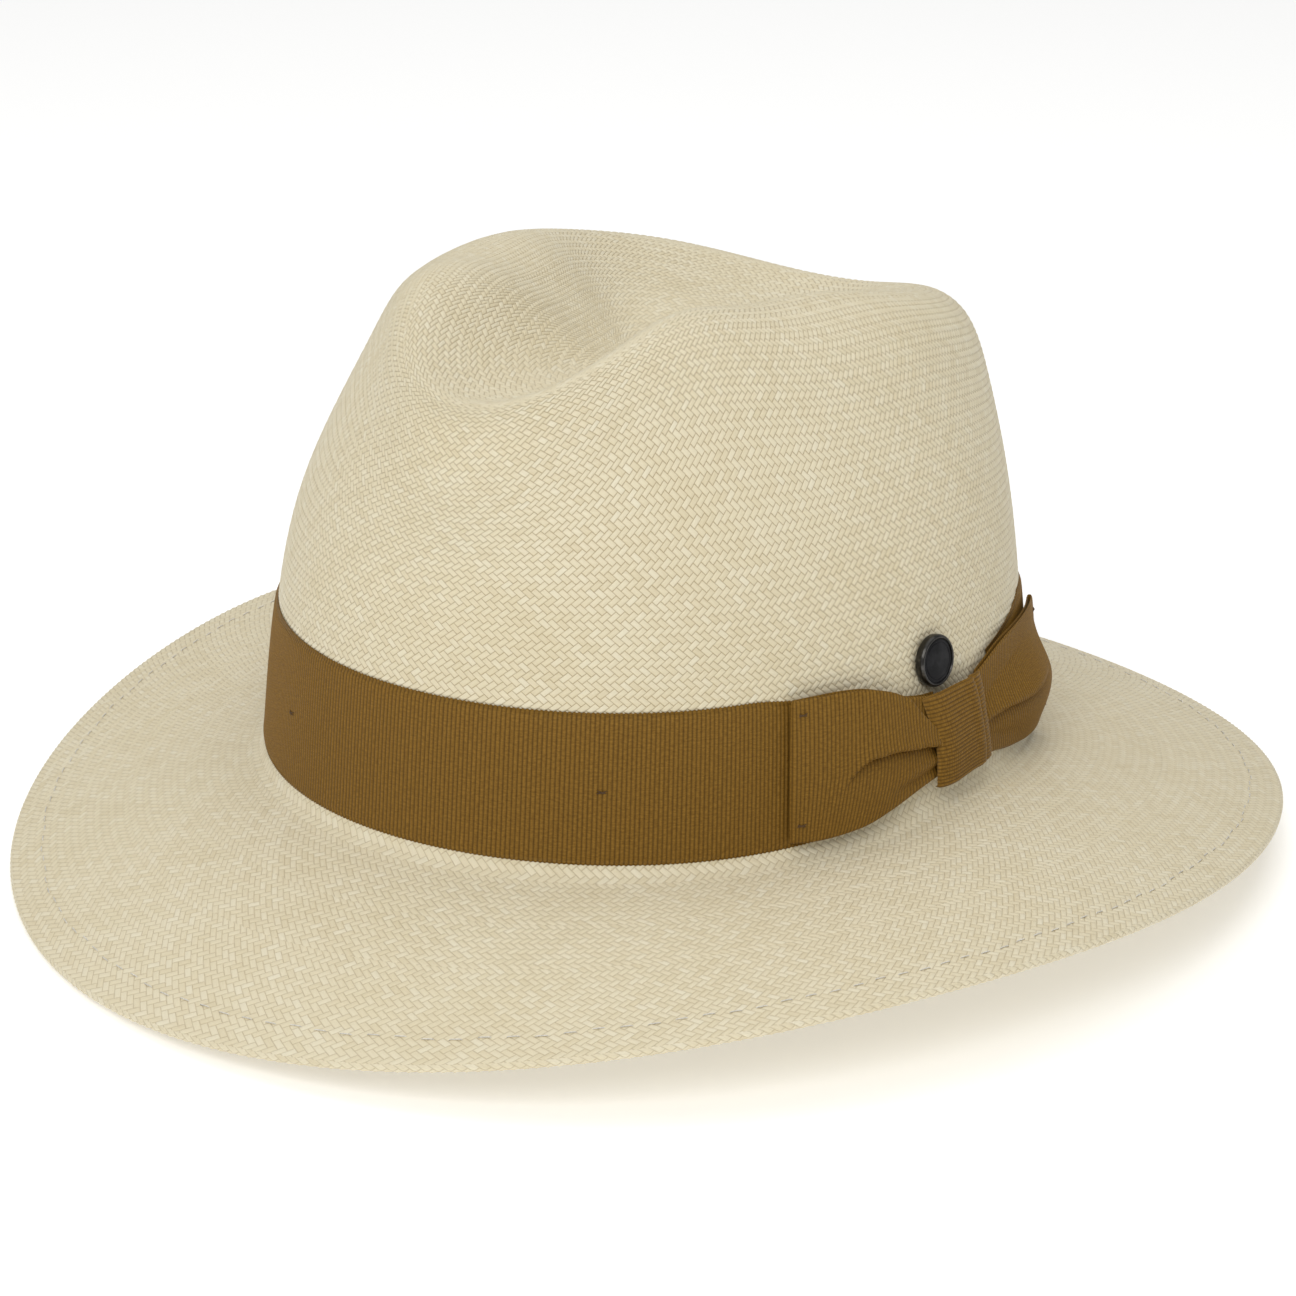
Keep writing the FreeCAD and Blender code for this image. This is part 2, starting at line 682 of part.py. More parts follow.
all_round = [360.0 * i / 144 for i in range(144)]
inside_strip("sweatband", all_round, SWEATBAND_BOTTOM, SWEATBAND_HEIGHT, SWEATBAND_OUT, SWEATBAND, True)
reed_bottom = SWEATBAND_BOTTOM - GAP - REED_HEIGHT
inside_strip("sweatband_reed", all_round, reed_bottom, REED_HEIGHT, SWEATBAND_OUT, REED_THICKNESS, True)
inside_patch("sweatband_seam_tape", 180.0, TAPE_WIDTH, TAPE_INSET, SWEATBAND_HEIGHT - 2.0 * TAPE_INSET)
inside_patch("size_label", SIZE_LABEL_ANGLE, SIZE_LABEL_WIDTH, SIZE_LABEL_UP, SIZE_LABEL_HEIGHT)
inside_patch("care_label", CARE_LABEL_ANGLE, CARE_LABEL_WIDTH, CARE_LABEL_UP, CARE_LABEL_HEIGHT)


def make_sweatband_stitching():
    """A row of stitches through the sweatband just above its reed, missing where the tape lies."""
    around = math.pi * (HALF_LENGTH + HALF_BREADTH)
    count = int(around / SWEATBAND_STITCH)
    turn = 360.0 / count
    under_tape = 0.5 * math.degrees(TAPE_WIDTH / HALF_LENGTH) + turn
    depth = SWEATBAND_IN - HEM_THREAD / 2.0 - 2.0 * THREAD_CLEARANCE
    stitches = []
    for i in range(count):
        if abs(i * turn - 180.0) > under_tape:
            z = break_height(math.radians(i * turn)) + SWEATBAND_BOTTOM + SWEATBAND_STITCH_UP
            start = wall_point(i * turn, z, depth)
            end = wall_point((i + STITCH_SHARE) * turn, z, depth)
            stitches.append(stitch(start, end, HEM_THREAD))
    return Part.makeCompound(stitches)


add_feature("sweatband_stitching", make_sweatband_stitching())

# ---------------------------------------------------------------- stand the hat on its brim and write it

NODES = [
    "hat_body", "hem_stitching", "ribbon_band", "ribbon_tacks",
    "bow_front_loop", "bow_rear_loop", "bow_knot", "bow_tacks",
    "badge_bezel", "badge_face", "badge_post", "clutch_cap", "clutch_wings",
    "sweatband", "sweatband_reed", "sweatband_stitching", "sweatband_seam_tape",
    "size_label", "care_label",
]

doc.recompute()
standing = Placement(Vector(0, REST_Y, REST_LIFT), Rotation(Vector(1, 0, 0), REST_PITCH))
for name in NODES:
    piece = doc.getObject(name)
    piece.Placement = standing.multiply(piece.Placement)
doc.recompute()

for piece in doc.Objects:
    if "Invalid" in piece.State or "Error" in piece.State:
        raise RuntimeError(f"{piece.Label} failed to recompute: {piece.State}")

os.makedirs("parts", exist_ok=True)
box = FreeCAD.BoundBox()
for name in NODES:
    shape = doc.getObject(name).Shape
    if shape.isNull() or not shape.isValid() or not shape.Solids:
        raise RuntimeError(f"{name} has no sound solid")
    box.add(shape.optimalBoundingBox(False, False))
    shape.exportStep(f"parts/{name}.step")
    print(f"{name}: {len(shape.Solids)} solid(s), {shape.Volume:.1f} mm3")
print("whole hat:", box)
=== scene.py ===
import math

import bpy
import numpy as np
from mathutils import Matrix, Vector


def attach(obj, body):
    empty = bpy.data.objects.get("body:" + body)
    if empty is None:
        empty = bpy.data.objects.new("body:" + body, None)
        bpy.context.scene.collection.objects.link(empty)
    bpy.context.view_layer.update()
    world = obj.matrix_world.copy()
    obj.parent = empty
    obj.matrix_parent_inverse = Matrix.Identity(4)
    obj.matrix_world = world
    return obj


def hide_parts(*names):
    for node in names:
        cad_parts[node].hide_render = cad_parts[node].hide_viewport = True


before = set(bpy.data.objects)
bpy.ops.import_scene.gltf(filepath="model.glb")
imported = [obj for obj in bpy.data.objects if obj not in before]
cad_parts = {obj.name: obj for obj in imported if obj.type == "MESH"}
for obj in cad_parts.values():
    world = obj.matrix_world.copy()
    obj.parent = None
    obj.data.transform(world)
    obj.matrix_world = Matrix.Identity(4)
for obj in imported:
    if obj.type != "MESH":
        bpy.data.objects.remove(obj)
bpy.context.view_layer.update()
rng = np.random.default_rng(11)

# ---- sizes of the CAD part, in millimetres
# Angles round the hat start at the front (-Y) and grow towards the wearer's left (+X).

HALF_LENGTH, HALF_BREADTH = 102.5, 89.8
BRIM_WIDTH = (62.0, 61.6, 63.5, 64.8, 67.5)
BRIM_EDGE = (-26.9, -17.9, -9.0, -8.4, -17.1)
BRIM_TILT, BRIM_TWIST = 3.0, 7.2
REAR_DROP, REAR_DROP_ANGLE, REAR_DROP_SPREAD = 7.0, 213.0, 22.0
BRIM_SLOPE, BRIM_SHARES = 0.75, (1.0, 0.86, 0.6, 0.32)
BREAK_REACH = 7.0
LEFT_LIFT = 5.0
WALL_START = (0.6, 8.0)
WALL_AT_40 = (2.2, 2.7, 3.1, 3.3, 3.6)
WALL_AT_70 = (5.0, 6.5, 9.0, 7.5, 7.5, 8.0, 6.0)
SHOULDER = (12.0, 22.0, 24.0, 19.0, 15.0, 11.0, 10.5)
RIDGE_INSET = (17.0, 34.0, 46.0, 46.0, 34.0, 27.0, 25.0)
RIDGE_HEIGHT = (103.0, 116.5, 119.5, 118.0, 113.0, 106.0, 100.0)
RIDGE_LIP = 11.0
DENT_HEIGHT, DENT_Y = 96.0, -5.0
STRAW = 1.1
HEM_WIDTH = 9.0
HEM_STITCH_INSET, HEM_STITCH_PITCH, STITCH_SHARE = 8.0, 6.0, 0.42
HEM_THREAD, TACK_THREAD, TACK_LENGTH = 0.3, 0.4, 2.4
GAP = 0.12
RIBBON_BOTTOM, RIBBON_WIDTH, RIBBON = 2.8, 35.7, 0.7
BAND_FIRST, BAND_LAST = 97.0, 360.0 + 62.5
TACK_ANGLES, TACK_HEIGHT = (26.0, 334.0, 268.0, 212.0, 152.0), 20.2
SWEATBAND_GAP, SWEATBAND, SWEATBAND_HEIGHT, SWEATBAND_BOTTOM = 0.35, 0.9, 26.8, 2.8
SWEATBAND_STITCH_PITCH, SWEATBAND_STITCH_HEIGHT = 6.0, 1.6
REED_HEIGHT, REED_THICKNESS = 1.8, 1.4
LABEL, TAPE_WIDTH = 0.35, 11.0
BADGE_ANGLE, BADGE_HEIGHT = 80.0, 40.2
BADGE_RADIUS, BADGE_DEPTH, BADGE_RIM = 6.2, 2.6, 0.9
REST_PITCH, REST_LIFT, REST_Y = -2.17, 26.72, -1.89
RING_POLES, SPANS = 72, 14
BREAK_V = 5.0 / SPANS
WALL_V = (2.6 / SPANS, 6.0 / SPANS, 9.5 / SPANS)
MM = 0.001

# ---- the hat's surface


def cosine_series(values):
    """An even curve round the hat through values at equal angles from the front to the back."""
    last = len(values) - 1
    terms = []
    for k in range(last + 1):
        total = sum((0.5 if i in (0, last) else 1.0) * value * math.cos(math.pi * k * i / last)
                    for i, value in enumerate(values))
        terms.append(total * (1.0 if k in (0, last) else 2.0) / last)
    return lambda angle: sum(term * np.cos(k * angle) for k, term in enumerate(terms))


brim_width, brim_edge_even, wall_low, wall_high, shoulder, ridge_inset, ridge_height = [
    cosine_series(values)
    for values in (BRIM_WIDTH, BRIM_EDGE, WALL_AT_40, WALL_AT_70, SHOULDER, RIDGE_INSET, RIDGE_HEIGHT)
]


def brim_edge(angle):
    away = (np.degrees(angle) - REAR_DROP_ANGLE + 180.0) % 360.0 - 180.0
    lean = BRIM_TILT * np.sin(angle) + BRIM_TWIST * np.sin(2.0 * angle)
    return brim_edge_even(angle) + lean - REAR_DROP * gauss(away, REAR_DROP_SPREAD)


def break_height(angle):
    return LEFT_LIFT * np.maximum(0.0, np.sin(angle)) ** 6


def gauss(x, width):
    return np.exp(-((x / width) ** 2))


def falloff(x, low, high):
    """A soft step from 0 at low to 1 at high."""
    t = np.clip((x - low) / (high - low), 0.0, 1.0)
    return t * t * (3 - 2 * t)


def unit(vectors):
    return vectors / np.maximum(np.linalg.norm(vectors, axis=-1, keepdims=True), 1e-12)


def oval(angle, outset, z):
    """Points outset from the head's oval at each angle."""
    c, s = np.cos(angle), np.sin(angle)
    radius = 1.0 / np.hypot(c / HALF_LENGTH, s / HALF_BREADTH)
    x, y = radius * s, -radius * c
    nx, ny = x / HALF_BREADTH**2, y / HALF_LENGTH**2
    length = np.hypot(nx, ny)
    return np.stack([x + nx / length * outset, y + ny / length * outset, z + 0.0 * x], axis=-1)


def section(angle):
    """Poles of the straw's surface at each angle, from the brim's edge to the crown's middle."""
    low, width = break_height(angle), brim_width(angle)
    fall = brim_edge(angle) - low
    poles = []
    for share in (*BRIM_SHARES, BREAK_REACH / width):
        drop = BRIM_SLOPE * share + (1.0 - BRIM_SLOPE) * share**2
        poles.append(oval(angle, width * share, low + fall * drop))
    top, outer, ridge = ridge_height(angle), shoulder(angle), ridge_inset(angle)
    for inset, z in ((0.0, low), (WALL_START[0], low + WALL_START[1]), (wall_low(angle), low + 40.0),
                     (wall_high(angle), low + 70.0), (outer, top - 20.0),
                     (outer + 0.3 * (ridge - outer), top - 5.0), (ridge, top + 1.0),
                     (ridge + RIDGE_LIP, top - 2.5)):
        poles.append(oval(angle, -inset, z))
    x, y = poles[-1][:, 0], poles[-1][:, 1]
    for share, z in ((0.62, 0.45 * top + 0.55 * DENT_HEIGHT), (0.34, DENT_HEIGHT),
                     (0.12, DENT_HEIGHT), (0.0, DENT_HEIGHT)):
        poles.append(np.stack([x * share, DENT_Y + (y - DENT_Y) * share, z + 0.0 * angle], axis=-1))
    return np.stack(poles, axis=1)


POLES = section(np.arange(RING_POLES) * 2.0 * np.pi / RING_POLES)
KNOTS = np.concatenate([np.zeros(3), np.linspace(0.0, 1.0, SPANS + 1), np.ones(3)])


def ring_weights(turn, slope):
    """Weights of the poles round the hat at each turn (0 to 1), or their slopes."""
    x = (np.asarray(turn) % 1.0) * RING_POLES
    whole = np.floor(x).astype(int)
    t = x - whole
    if slope:
        parts = (-0.5 * (1 - t) ** 2, 1.5 * t**2 - 2 * t, -1.5 * t**2 + t + 0.5, 0.5 * t**2)
        parts = [RING_POLES * part for part in parts]
    else:
        parts = ((1 - t) ** 3 / 6, (3 * t**3 - 6 * t**2 + 4) / 6,
                 (-3 * t**3 + 3 * t**2 + 3 * t + 1) / 6, t**3 / 6)
    weights = np.zeros((len(x), RING_POLES))
    for shift, part in zip((-1, 0, 1, 2), parts):
        weights[np.arange(len(x)), (whole + shift) % RING_POLES] = part
    return weights


def span_weights(v, slope):
    """Weights of the poles along a section at each v from 0 (edge) to 1 (middle), or their slopes."""
    v = np.clip(v, 0.0, 1.0 - 1e-9)[:, None]
    basis = ((v >= KNOTS[:-1]) & (v < KNOTS[1:])).astype(float)
    for degree in (1, 2, 3):
        count = basis.shape[1] - 1
        left, right = KNOTS[:count], KNOTS[degree + 1:degree + 1 + count]
        reach_left = KNOTS[degree:degree + count] - left
        reach_right = right - KNOTS[1:count + 1]
        a = np.divide(1.0, reach_left, out=np.zeros(count), where=reach_left > 0)
        b = np.divide(1.0, reach_right, out=np.zeros(count), where=reach_right > 0)
        if slope and degree == 3:
            return 3.0 * (basis[:, :-1] * a - basis[:, 1:] * b)
        basis = basis[:, :-1] * (v - left) * a + basis[:, 1:] * (right - v) * b
    return basis


def surface(turns, vs, pairs=False):
    """Points, outward normals and slopes up, on every crossing of turns and vs or at pairs."""
    sums = "njc,nj->nc" if pairs else "njc,mj->mnc"
    rows, row_slopes = [(ring_weights(turns, slope) @ POLES.reshape(RING_POLES, -1))
                        .reshape(-1, POLES.shape[1], 3) for slope in (False, True)]
    span, span_slope = span_weights(vs, False), span_weights(vs, True)
    up = np.einsum(sums, rows, span_slope)
    normals = unit(np.cross(np.einsum(sums, row_slopes, span), up))
    normals[vs > 1.0 - 1e-6] = (0.0, 0.0, 1.0)
    return np.einsum(sums, rows, span), normals, up


def wall_point(angle_deg, z, standoff):
    """Points on the crown's wall at angles and heights, moved out from the straw by standoff."""
    given = [np.asarray(a, dtype=float) for a in (angle_deg, z, standoff)]
    angle_deg, z, standoff = np.broadcast_arrays(*given)
    shape = angle_deg.shape
    angle, z, standoff = np.radians(angle_deg.ravel()), z.ravel(), standoff.ravel()
    lowest, middle, highest = WALL_V
    turn, v = angle / (2 * np.pi), np.full(len(angle), middle)
    for _ in range(10):
        points, normals, up = surface(turn, v, pairs=True)
        off = (np.arctan2(points[:, 0], -points[:, 1]) - angle + np.pi) % (2 * np.pi) - np.pi
        turn = turn - off / (2 * np.pi)
        v = np.clip(v - (points[:, 2] - z) / np.maximum(up[:, 2], 60.0), lowest, highest)
    points, normals, up = surface(turn, v, pairs=True)
    return (points + normals * standoff[:, None]).reshape(shape + (3,))


def standing(points):
    """From the hat's own frame to the frame it stands in, in metres."""
    c, s = math.cos(math.radians(REST_PITCH)), math.sin(math.radians(REST_PITCH))
    x, y, z = points[..., 0], points[..., 1], points[..., 2]
    return np.stack([x, y * c - z * s + REST_Y, y * s + z * c + REST_LIFT], axis=-1) * MM


# ---- meshes


def make_mesh(name, verts, faces, uvs=None, attributes=None):
    """A smooth mesh object from vertices in metres and a list of face arrays, each with its UVs."""
    mesh = bpy.data.meshes.new(name)
    counts = np.concatenate([np.full(len(f), f.shape[1]) for f in faces])
    loops = np.concatenate([f.ravel() for f in faces]).astype(np.int32)
    starts = np.concatenate([[0], np.cumsum(counts)[:-1]]).astype(np.int32)
    mesh.vertices.add(len(verts))
    mesh.vertices.foreach_set("co", np.asarray(verts, dtype=np.float32).ravel())
    mesh.loops.add(len(loops))
    mesh.loops.foreach_set("vertex_index", loops)
    mesh.polygons.add(len(counts))
    mesh.polygons.foreach_set("loop_start", starts)
    mesh.polygons.foreach_set("loop_total", counts.astype(np.int32))
    mesh.polygons.foreach_set("use_smooth", np.full(len(counts), True))
    for layer, values in (uvs or {}).items():
        data = np.concatenate([np.asarray(part, dtype=np.float32).reshape(-1, 2) for part in values])
        mesh.uv_layers.new(name=layer).data.foreach_set("uv", data.ravel())
    for layer, values in (attributes or {}).items():
        attribute = mesh.attributes.new(layer, "FLOAT", "FACE")
        attribute.data.foreach_set("value", np.concatenate(values).astype(np.float32))
    mesh.update()
    mesh.validate()
    obj = bpy.data.objects.new(name, mesh)
    bpy.context.scene.collection.objects.link(obj)
    return obj


def finish_piece(obj, body, material, node):
    obj.data.materials.append(material)
    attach(obj, body)
    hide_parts(node)


# ---- woven straw

DENSE_V = np.linspace(0.0, 1.0, 1401)
DENSE = surface(np.arange(72) / 72.0, DENSE_V)[0]
RING_LENGTH = np.linalg.norm(DENSE - np.roll(DENSE, 1, axis=1), axis=2).sum(axis=1)
DENSE_STEPS = np.linalg.norm(np.diff(DENSE, axis=0), axis=2).mean(axis=1)
ARC = np.concatenate([[0.0], np.cumsum(DENSE_STEPS)])


def v_at(arc):
    return np.interp(arc, ARC, DENSE_V)


def ring_at(arc):
    return np.interp(arc, ARC, RING_LENGTH)


# Arcs are mm along the section from the brim's edge; below zero they run round the edge and under it.
TOP_ARC = float(ARC[-1])
BREAK_ARC = float(np.interp(BREAK_V, DENSE_V, ARC))
SEAM_ARC = BREAK_ARC + 20.0
HEM_EDGE = HEM_WIDTH + 1.2
EDGE_ROLL = STRAW * 2.0
UNDER_ARC = -(np.pi * 0.5 * EDGE_ROLL)

FLOATS, FLOAT_CUT, FEWEST_FLOATS = 288, 0.75, 12
LEAST_PITCH = 0.76 * ring_at(BREAK_ARC + 30.0) / FLOATS
BRIM_CHANGES, BRIM_GAIN = (14.0, 30.0, 46.0), 48
FINE, PLAIN = 2, 1
ROW_SHARE = 0.92
FLOAT_TOP, CUT_HEIGHT = 0.85, 0.3
CROWN_RELIEF, DENT_EASE, BRIM_RELIEF, UNDER_RELIEF, INSIDE_RELIEF = 0.42, 0.22, 0.26, 0.24, 0.15
STRAND_TONES = rng.random((2, 1024))
FLOAT_TONES = rng.random(65536)
BIG, SMALL = 0.355, 0.215


def top_strand(cell_p, cell_q):
    """Whether the rising strand is on top in a cell, and where its float starts."""
    phase = (cell_p - cell_q) % 4
    rising = phase < 2
    return rising, np.where(rising, cell_p - phase, cell_q - (3 - phase))


def float_place(p, q, cell_p, cell_q):
    """Places along and across the float that is on top in a cell, both from 0 to 1."""
    rising, start = top_strand(cell_p, cell_q)
    return np.where(rising, p - start, q - start) / 2.0, np.where(rising, q - cell_q, p - cell_p)


def float_height(i, j, step):
    """Height (0 to 1) of the weave at a lattice vertex: low where strands dive."""
    p, q, nudge = (i + j) / step, (i - j) / step, 1e-6
    heights = []
    for dp, dq in ((nudge, nudge), (-nudge, nudge), (nudge, -nudge), (-nudge, -nudge)):
        s, t = float_place(p, q, np.floor(p + dp), np.floor(q + dq))
        across = 1.0 - np.abs(2 * t - 1) ** 2.4
        heights.append((0.30 + 0.70 * across) * (1.0 - 0.9 * np.abs(2 * s - 1) ** 3.0))
    return np.minimum.reduce(heights)


class Weave:
    """Collects the patches of a two-over, two-under weave whose rows run round the hat."""

    def __init__(self):
        self.verts, self.quads, self.tris, self.count = [], [], [], 0

    def patch(self, arc_first, arc_last, floats, fine, place, relief, bake, flip=False):
        """One run of rows with the same number of floats round, laid on place's points."""
        step, per_ring = 2 * fine, fine * floats
        pitch = ring_at(0.5 * (arc_first + arc_last)) / floats
        rows = max(2, int(round(abs(arc_last - arc_first) / (pitch * ROW_SHARE / step))))
        arcs = np.linspace(arc_first, arc_last, rows + 1)
        points = np.empty((rows + 1, per_ring, 3))
        for parity in (0, 1):
            js = np.arange(parity, rows + 1, 2)
            i, j = 2 * np.arange(per_ring) + parity, js[:, None]
            base, normals = place(i / (step * floats), arcs[js])
            height = np.where((j == 0) | (j == rows), CUT_HEIGHT, float_height(i[None, :], j, step))
            points[js] = base + normals * ((height - FLOAT_TOP) * relief(arcs[j]))[..., None]
        first = self.count
        self.verts.append(standing(points.reshape(-1, 3)))
        self.count += (rows + 1) * per_ring

        j, k = np.meshgrid(np.arange(0, rows + 1), np.arange(per_ring), indexing="ij")
        i = 2 * k + (j + 1) % 2
        cell_p, cell_q = ((i + j) // step), ((i - j) // step)
        rising, start = top_strand(cell_p, cell_q)
        lane = np.where(rising, cell_q, cell_p)
        strand = np.where(rising, *(tones[lane % floats % len(tones)] for tones in STRAND_TONES))
        label = (lane % floats) * 7919 + (start - lane) * 104729 + np.where(rising, 0, 31)
        label = (label + int(arc_first * 7)) % len(FLOAT_TONES)
        tone = 0.62 * strand + 0.38 * FLOAT_TONES[label]
        press = relief(arcs[j])

        corners = []
        for ci, cj in ((i - 1, j), (i, j - 1), (i + 1, j), (i, j + 1)):
            vertex = first + cj * per_ring + ((ci - (cj % 2)) // 2) % per_ring
            float_uv = float_place((ci + cj) / step, (ci - cj) / step, cell_p, cell_q)
            bake_uv = bake(ci / (step * floats), arcs[np.clip(cj, 0, rows)])
            corners.append((vertex, np.stack(float_uv, axis=-1), bake_uv))
        for mask, picks, store in (((j > 0) & (j < rows), (0, 1, 2, 3), self.quads),
                                   (j == 0, (0, 2, 3), self.tris), (j == rows, (0, 1, 2), self.tris)):
            chosen = [corners[pick] for pick in (picks[::-1] if flip else picks)]
            parts = [np.stack([corner[kind][mask] for corner in chosen], axis=1) for kind in range(3)]
            store.append((*parts, tone[mask], press[mask]))

    def cap(self, floats, fine, middle, flip=False):
        """Closes the last ring of rows with a fan of straw to a middle point in mm."""
        ring = self.count - fine * floats + np.arange(fine * floats)
        rim = [ring, np.roll(ring, -1)]
        fan = np.stack((rim[::-1] if flip else rim) + [np.full(len(ring), self.count)], axis=-1)
        self.verts.append(standing(np.array([middle])))
        self.count += 1
        flat = (len(ring), 3, 2)
        self.tris.append((fan, np.full(flat, 0.5), np.full(flat, 1 - SMALL if flip else BIG),
                          np.full(len(ring), 0.5), np.full(len(ring), INSIDE_RELIEF)))

    def build(self, name, material):
        faces, floats, bakes, tones, presses = zip(*self.quads, *self.tris)
        obj = make_mesh(name, np.concatenate(self.verts), faces, {"float": floats, "OFBake": bakes},
                        {"tone": tones, "press": presses})
        finish_piece(obj, "hat", material, "hat_body")


def outside_relief(arcs):
    """Relief in mm: strong on the crown, pressed flat on the dent's floor and on the brim."""
    crown = CROWN_RELIEF - DENT_EASE * falloff(arcs, TOP_ARC - 52.0, TOP_ARC - 26.0)
    share = falloff(arcs, BREAK_ARC - 6.0, BREAK_ARC + 4.0)
    return BRIM_RELIEF * (1 - share) + crown * share


def even_relief(relief):
    return lambda arcs: np.full(arcs.shape, relief)


def disc(radius, centre, arc_of_middle, arc_of_rim):
    """Bake UVs: rings of the hat laid out as rings of a disc."""
    def uv(turn, arc):
        r = radius * (arc - arc_of_middle) / (arc_of_rim - arc_of_middle)
        a = 2 * np.pi * turn
        return np.stack([centre + r * np.cos(a), centre + r * np.sin(a)], axis=-1)
    return uv


def crown_bands():
    """Runs of rows from the seam to the middle, with fewer floats as the rings shrink."""
    floats, bands, start, arc = FLOATS, [], SEAM_ARC, SEAM_ARC
    while arc < TOP_ARC - 2.2:
        if ring_at(arc) / floats < LEAST_PITCH and floats > FEWEST_FLOATS:
            bands.append((start, arc, floats))
            start, floats = arc, int(round(floats * FLOAT_CUT))
        arc += 0.5
    return bands + [(start, TOP_ARC - 1.2, floats)]


def outside_place(turns, arcs):
    return surface(turns, v_at(arcs))[:2]


def inside_place(turns, arcs):
    points, normals = outside_place(turns, arcs)
    return points - normals * STRAW, -normals


def around_edge(turns, arcs):
    """The brim's top for positive arcs, its rounded edge just below zero, and the fold after it."""
    (edge, inner), (edge_normal, _) = outside_place(turns, np.array([0.0, 2.0]))
    outward = unit(edge - inner)
    points = np.empty((len(arcs), len(turns), 3))
    normals = np.empty_like(points)
    half = 0.5 * EDGE_ROLL
    for row, arc in enumerate(arcs):
        if UNDER_ARC < arc < 0.0:
            c, s = math.cos(np.pi * arc / UNDER_ARC), math.sin(np.pi * arc / UNDER_ARC)
            points[row] = edge - edge_normal * half * (1 - c) + outward * half * s * 0.9
            normals[row] = edge_normal * c + outward * s
            continue
        back = arc if arc >= 0.0 else UNDER_ARC - arc
        (point,), (normal,) = outside_place(turns, np.array([back]))
        if arc < 0.0:
            fold = 1.0 - falloff(back, HEM_WIDTH - 0.4, HEM_WIDTH + 0.8)
            point, normal = point - normal * (STRAW + (EDGE_ROLL - STRAW) * fold), -normal
        points[row], normals[row] = point, normal
    return points, normals


def build_straw(material):
    """The crown and the brim as two woven shells that meet at a seam under the ribbon."""
    crown, bands = Weave(), crown_bands()
    out_uv = disc(BIG, BIG, TOP_ARC, SEAM_ARC)
    in_uv = disc(SMALL, 1 - SMALL, TOP_ARC, SEAM_ARC)
    for band in bands:
        first, last, floats = band
        crown.patch(first, last, floats, FINE, outside_place, outside_relief, out_uv)
        if band == bands[-1]:
            crown.cap(floats, FINE, (0.0, DENT_Y, DENT_HEIGHT))
        crown.patch(first, last, floats, PLAIN, inside_place, even_relief(INSIDE_RELIEF), in_uv,
                    flip=True)
    crown.cap(bands[-1][2], PLAIN, (0.0, DENT_Y, DENT_HEIGHT - STRAW), flip=True)
    crown.build("straw_crown", material)

    brim = Weave()
    top_uv = disc(BIG, BIG, SEAM_ARC + 70.0, -HEM_WIDTH - 6.0)
    low_uv = disc(SMALL, 1 - SMALL, SEAM_ARC + 70.0, 0.0)
    arcs = [SEAM_ARC] + [BREAK_ARC - out for out in BRIM_CHANGES] + [0.0]
    counts = [FLOATS + BRIM_GAIN * step for step in range(len(BRIM_CHANGES) + 1)]
    for first, last, floats in zip(arcs, arcs[1:], counts):
        brim.patch(first, last, floats, FINE, around_edge, outside_relief, top_uv, flip=True)
        brim.patch(max(last, HEM_EDGE), first, floats, FINE, inside_place, even_relief(UNDER_RELIEF),
                   low_uv, flip=True)
    brim.patch(0.0, UNDER_ARC - HEM_EDGE, counts[-1], FINE, around_edge, even_relief(BRIM_RELIEF),
               top_uv, flip=True)
    brim.build("straw_brim", material)


# ---- materials

RIB = 1.03
WARP = 0.42


def scaled(colour, gain):
    return tuple(min(1.0, gain * c) for c in colour)


